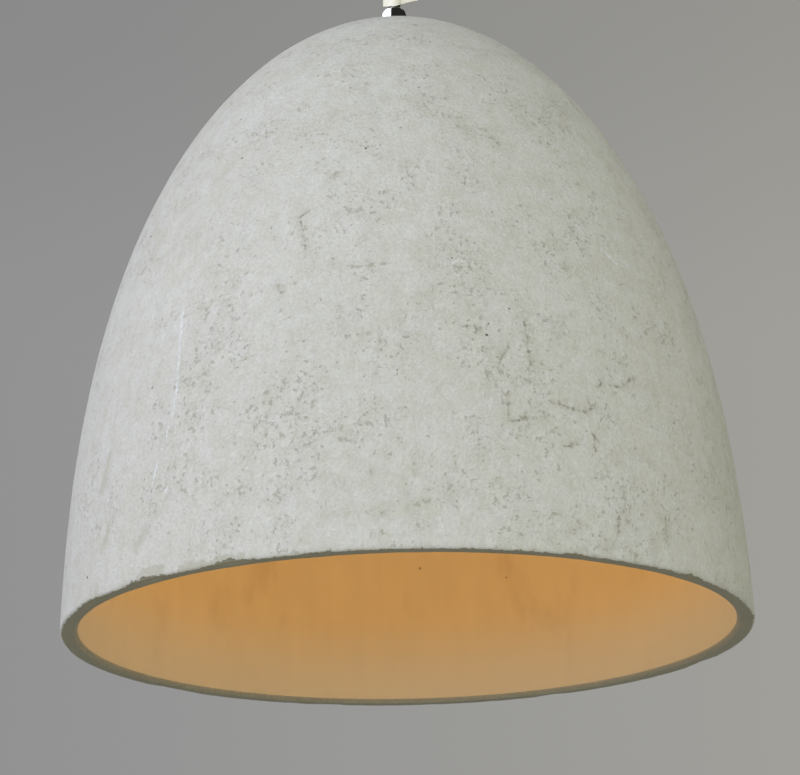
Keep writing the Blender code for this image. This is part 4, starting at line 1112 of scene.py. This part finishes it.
def hanging_flex():
    """The black flex from one gland's mouth to the other, as one smooth cord."""
    ends = [(0.0, 0.1), (0.12, 0.55), (0.45, 0.88), (1.0, 1.0)]
    bottom, top = ROCK_PIVOT - FLEX_ENTRY, SWING_PIVOT + FLEX_ENTRY
    heights = [bottom + share * MM for share, _ in ends]
    shares = [width for _, width in ends]
    steps = 36
    for i in range(1, steps):
        heights.append(bottom + 1 * MM + (top - bottom - 2 * MM) * i / steps)
        shares.append(1.0)
    heights += [top - share * MM for share, _ in reversed(ends)]
    shares += [width for _, width in reversed(ends)]
    path = [(0, 0, z) for z in heights]
    flex = tube("hanging_flex", path, FLEX_RADIUS, shares, sides=10)
    dress(flex, "black_sheath")
    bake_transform(flex)
    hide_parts("flex_upper", "flex_lower")
    return flex, path


def tag_section(left, right, sleeve):
    """The folded strip's section, as a closed loop: along its outer side, and back."""
    half_gap, half_paper = 0.18 * MM, 0.13 * MM
    lean = math.asin(half_gap / sleeve)
    front = [(x, -half_gap) for x in np.linspace(left, -sleeve * math.cos(lean), 10)[:-1]]
    front += [(sleeve * math.cos(t), sleeve * math.sin(t))
              for t in np.linspace(math.pi + lean, 2 * math.pi - lean, 25)]
    front += [(x, -half_gap) for x in np.linspace(sleeve * math.cos(lean), right, 26)[1:]]
    fold = arc(right, 0, half_gap, -90, 90, 4)[1:-1]
    line = np.array(front + fold + [(x, -y) for x, y in front[::-1]])
    along = np.gradient(line, axis=0)
    along /= np.linalg.norm(along, axis=1)[:, None]
    side = np.stack([-along[:, 1], along[:, 0]], -1) * half_paper
    return np.concatenate([line + side, (line - side)[::-1]])


def flex_tag():
    """A blank paper flag folded round the flex: one strip, with a wing each side of it, torn
    along its foot and a little curled."""
    bottom, top = low("flex_tag").z + 1.9 * MM, high("flex_tag").z
    sleeve, rows = 4.05 * MM, 26
    loop = tag_section(low("flex_tag").x + 1.4 * MM, high("flex_tag").x, sleeve)
    shape = bmesh.new()
    rings = []
    for share in (k / rows for k in range(rows + 1)):
        ring = []
        for x, y in loop:
            ragged = 0.16 * MM * noise.fractal(Vector((x, 0, 0)) / (1.3 * MM), 1.0, 2.0, 3)
            foot = bottom + 0.37 * max(0.0, x - 0.5 * MM) + 0.62 * min(0.0, y) + ragged
            wing = max(0.0, abs(x) - sleeve) / (10 * MM)
            curl = wing * wing * (1.1 * MM * (1 if x > 0 else -0.5) + 0.9 * MM * (0.5 - share))
            ring.append(shape.verts.new((x, y + curl, foot + (top - foot) * share)))
        rings.append(ring)
    count = len(loop)
    for a, b in zip(rings, rings[1:]):
        for i in range(count):
            j = (i + 1) % count
            shape.faces.new([a[i], a[j], b[j], b[i]])
    for ring in (rings[0], rings[-1]):
        for i in range(count // 2 - 1):
            shape.faces.new([ring[i], ring[i + 1], ring[count - 2 - i], ring[count - 1 - i]])
    bmesh.ops.recalc_face_normals(shape, faces=shape.faces)
    return settle(finish_mesh("flex_tag_paper", shape, 45), "tag_paper", "flex_tag")


# ---------------------------------------------------------------- lampholder and bulb

def holder_cap():
    """The lampholder's domed chrome cap, drilled for its grub screw."""
    r, wall, dome, collar = HOLDER_RADIUS, HOLDER_WALL, 11 * MM, 8 * MM
    bottom, top = span("holder_cap")
    shoulder_z = top - 19 * MM
    outline = [
        (TUBE_HOLE, top), (collar, top), (collar, top - 8 * MM),
        *arc(r - dome, shoulder_z, dome, 72, 0, 18),
        (r, bottom), (r - wall, bottom),
        *arc(r - dome, shoulder_z, dome - wall, 0, 72, 14),
        (TUBE_HOLE, top - 12.8 * MM),
    ]
    body = turned("holder_cap_fine", divided(rounded(outline, 0.3 * MM), 2 * MM), 144)
    grub_z = sum(span("cap_grub_screw")) / 2
    grub_hole = rod("grub_hole", (7.3 * MM, 0, grub_z), (1, 0, 0), 1.8 * MM, 6 * MM)
    settle(cut(body, [grub_hole]), "chrome", "holder_cap")


def holder_barrel():
    """The lampholder's barrel: a knurled grip above a coarse ring thread."""
    bottom, top = span("holder_barrel")
    r, grip, lip, knurls = HOLDER_RADIUS, 8 * MM, 17.2 * MM, 72
    body = r - 1.5 * MM
    bore = body - HOLDER_WALL + 0.3 * MM
    outline = [
        (r - HOLDER_WALL, top), (r, top), (r, top - grip), (body, top - grip - 2 * MM),
        (body, bottom + 2 * MM), (r - 0.5 * MM, bottom + 1 * MM), (r - 0.5 * MM, bottom),
        (lip, bottom), (lip, bottom + 1.5 * MM), (bore, bottom + 3 * MM),
        (bore, top - grip - 2 * MM),
    ]
    ring_thread = thread(2.5 * MM, 0.5 * MM, lambda radius, z: (
        (np.abs(radius - body) < 0.05 * MM) * (z > bottom + 3 * MM) * (z < top - grip - 3 * MM)
    ))

    def knurled(radius, z, a):
        radius, z = ring_thread(radius, z, a)
        on_grip = (radius > r - 0.1 * MM) * (z < top - 1.2 * MM) * (z > top - grip + 1.2 * MM)
        return radius - 0.22 * MM * on_grip * (0.5 - 0.5 * np.cos(knurls * a)), z

    turned_piece("holder_barrel", "chrome", divided(rounded(outline, 0.25 * MM), 0.5 * MM), 288,
                 knurled, 60)


def lampholder():
    holder_cap()
    holder_barrel()
    bottom, top = span("screw_shell")
    inner = 13.8 * MM + THREAD_DEPTH
    outer = inner + SHEET
    shell = [(inner, top), (outer, top), (outer, bottom), (inner, bottom)]
    wave = thread(THREAD_PITCH, THREAD_DEPTH, lambda r, z: 1.0)
    turned_piece("screw_shell", "brass", divided(shell, 0.35 * MM), 96, wave, 50)
    for node, slot, ease in (("holder_insert", "porcelain", 0.3), ("shell_contact", "brass", 0.1),
                             ("centre_contact", "brass", 0.08),
                             ("cap_grub_screw", "zinc_steel", 0.15)):
        refined(node, slot, ease * MM)
    screw("holder_screw_live", (0, 0, 1), "brass")
    screw("holder_screw_neutral", (0, 0, 1), "brass")
    screw("cap_earth_screw", (0, 1, 0), "brass")


def bulb_cap():
    """The cap with its rolled thread, the black glass at its end and the contact button."""
    bottom, top = span("bulb_cap")
    mouth, radius, inner = 9.7 * MM, BULB_CAP_RADIUS, BULB_CAP_BORE
    outline = [
        (mouth, top), (11 * MM, top), (radius, top - 1.8 * MM),
        (radius, bottom), (inner, bottom), (inner, top - 3 * MM), (mouth, top - 1 * MM),
    ]
    wave = thread(THREAD_PITCH, THREAD_DEPTH, lambda r, z: (
        (np.abs(r - radius) < 0.05 * MM) * (z < top - 1.9 * MM) * (z > bottom + 3 * MM)))
    turned_piece("bulb_cap", "zinc_steel", divided(rounded(outline, 0.2 * MM), 0.35 * MM), 96,
                 wave, 50)

    top = high("bulb_button").z
    crown, foot = 9 * MM, top - 1.4 * MM
    button = [(0, top), *arc(0, top - crown, crown, 86, 64, 6), (4.4 * MM, foot), (0, foot)]
    turned_piece("bulb_button", "zinc_steel", rounded(button, 0.2 * MM, 3, False), 64)

    top = high("bulb_insulator").z
    radius, foot = 9.3 * MM, top - 5.3 * MM
    insulator = [(0, top), (5 * MM, top), (radius, top - 1.9 * MM), (radius, foot), (0, foot)]
    turned_piece("bulb_insulator", "black_glass", rounded(insulator, 0.5 * MM, 4, False), 64)


def envelope(neck, neck_z, centre, radius):
    """The bulb's outline: straight neck, one fair curve, then most of a sphere down to the axis."""
    ball = arc(0, centre, radius, BALL_FROM, -90, 40)
    start, end = Vector((neck, neck_z)), Vector(ball[0])
    reach = (start - end).length
    down = Vector((0, -1)) * 0.5 * reach
    turn = math.radians(BALL_FROM)
    back = end - Vector((math.sin(turn), -math.cos(turn))) * 0.45 * reach
    curve = []
    for k in range(14):
        t = k / 14
        curve.append(tuple((1 - t) ** 3 * start + 3 * t * (1 - t) ** 2 * (start + down)
                           + 3 * t * t * (1 - t) * back + t ** 3 * end))
    return curve + ball[:-1] + [(0, centre - radius)]


def bulb_glass():
    """The blown envelope, and the stem sealed into its neck."""
    bottom, top = span("bulb_glass")
    radius, neck, wall = high("bulb_glass").x, BULB_CAP_BORE - GAP, 0.8 * MM
    centre, neck_z = bottom + radius, low("bulb_cap").z - 4 * MM
    outside, inside = (
        [(neck - inset, top)] + envelope(neck - inset, neck_z, centre, radius - inset)
        for inset in (0, wall)
    )
    turned_piece("bulb_glass", "bulb_glass", outside[::-1] + inside, 96)

    (bottom, top), flare = span("bulb_stem"), high("bulb_stem").x
    stem = [(0, top), (flare, top), (flare, top - 1 * MM), (5 * MM, top - 4 * MM),
            (3.6 * MM, top - 8 * MM), (3 * MM, top - 15 * MM), (1.6 * MM, bottom), (0, bottom)]
    turned_piece("bulb_stem", "bulb_glass", rounded(stem, 1.2 * MM, 5, False), 48)


def bulb_wires():
    """Two leads, and the coiled filament in an arch between them."""
    for side, word in ((-1, "left"), (1, "right")):
        bottom, top = span(f"bulb_lead_{word}")
        route = [(side * x * MM, 0, z) for x, z in (
            (1, top), (2.5, top - 5 * MM), (9, bottom + 2.5 * MM), (10, bottom))]
        lead = tube(f"bulb_lead_{word}_fine", smooth_route(route, 8), 0.4 * MM)
        settle(lead, "tungsten", f"bulb_lead_{word}")
    bottom, top = span("filament")
    half = high("filament").x - 0.6 * MM
    turns, per_turn, coil = 34, 8, 0.38 * MM
    points = []
    for i in range(turns * per_turn + 1):
        x = half * (2 * i / (turns * per_turn) - 1)
        rise = (top - bottom - 1 * MM) * (1 - (x / half) ** 2)
        turn = 2 * math.pi * i / per_turn
        points.append((x, coil * math.cos(turn), bottom + 0.5 * MM + rise + coil * math.sin(turn)))
    wire = settle(tube("filament_coil", points, 0.12 * MM, sides=2), "tungsten", "filament")
    wire.data.materials[0] = wire_look("filament", (0.45, 0.36, 0.25), 0.2, 0.35, 6.0)


# ---------------------------------------------------------------- the whole light

make_camera()
make_world()
make_lights()
make_floor()

make_shade()
cable_gland("shade", GLAND_SEAT, 1)
cable_gland("rose", ROSE_BOTTOM, -1)
for node, slot, edge in (("top_washer", "chrome", 0.7), ("top_gasket", "black_rubber", 0.4),
                         ("bottom_gasket", "black_rubber", 0.4),
                         ("bottom_washer", "zinc_steel", 0.4)):
    disc(node, slot, edge * MM)
for node in ("shade_lock_nut", "rose_lock_nut"):
    lock_nut(node)
for node in ("threaded_tube", "rose_tube"):
    threaded_tube(node)
ceiling_rose()
rose_inside()
lampholder()
bulb_cap()
bulb_glass()
bulb_wires()
tag = flex_tag()
flex, flex_path = hanging_flex()
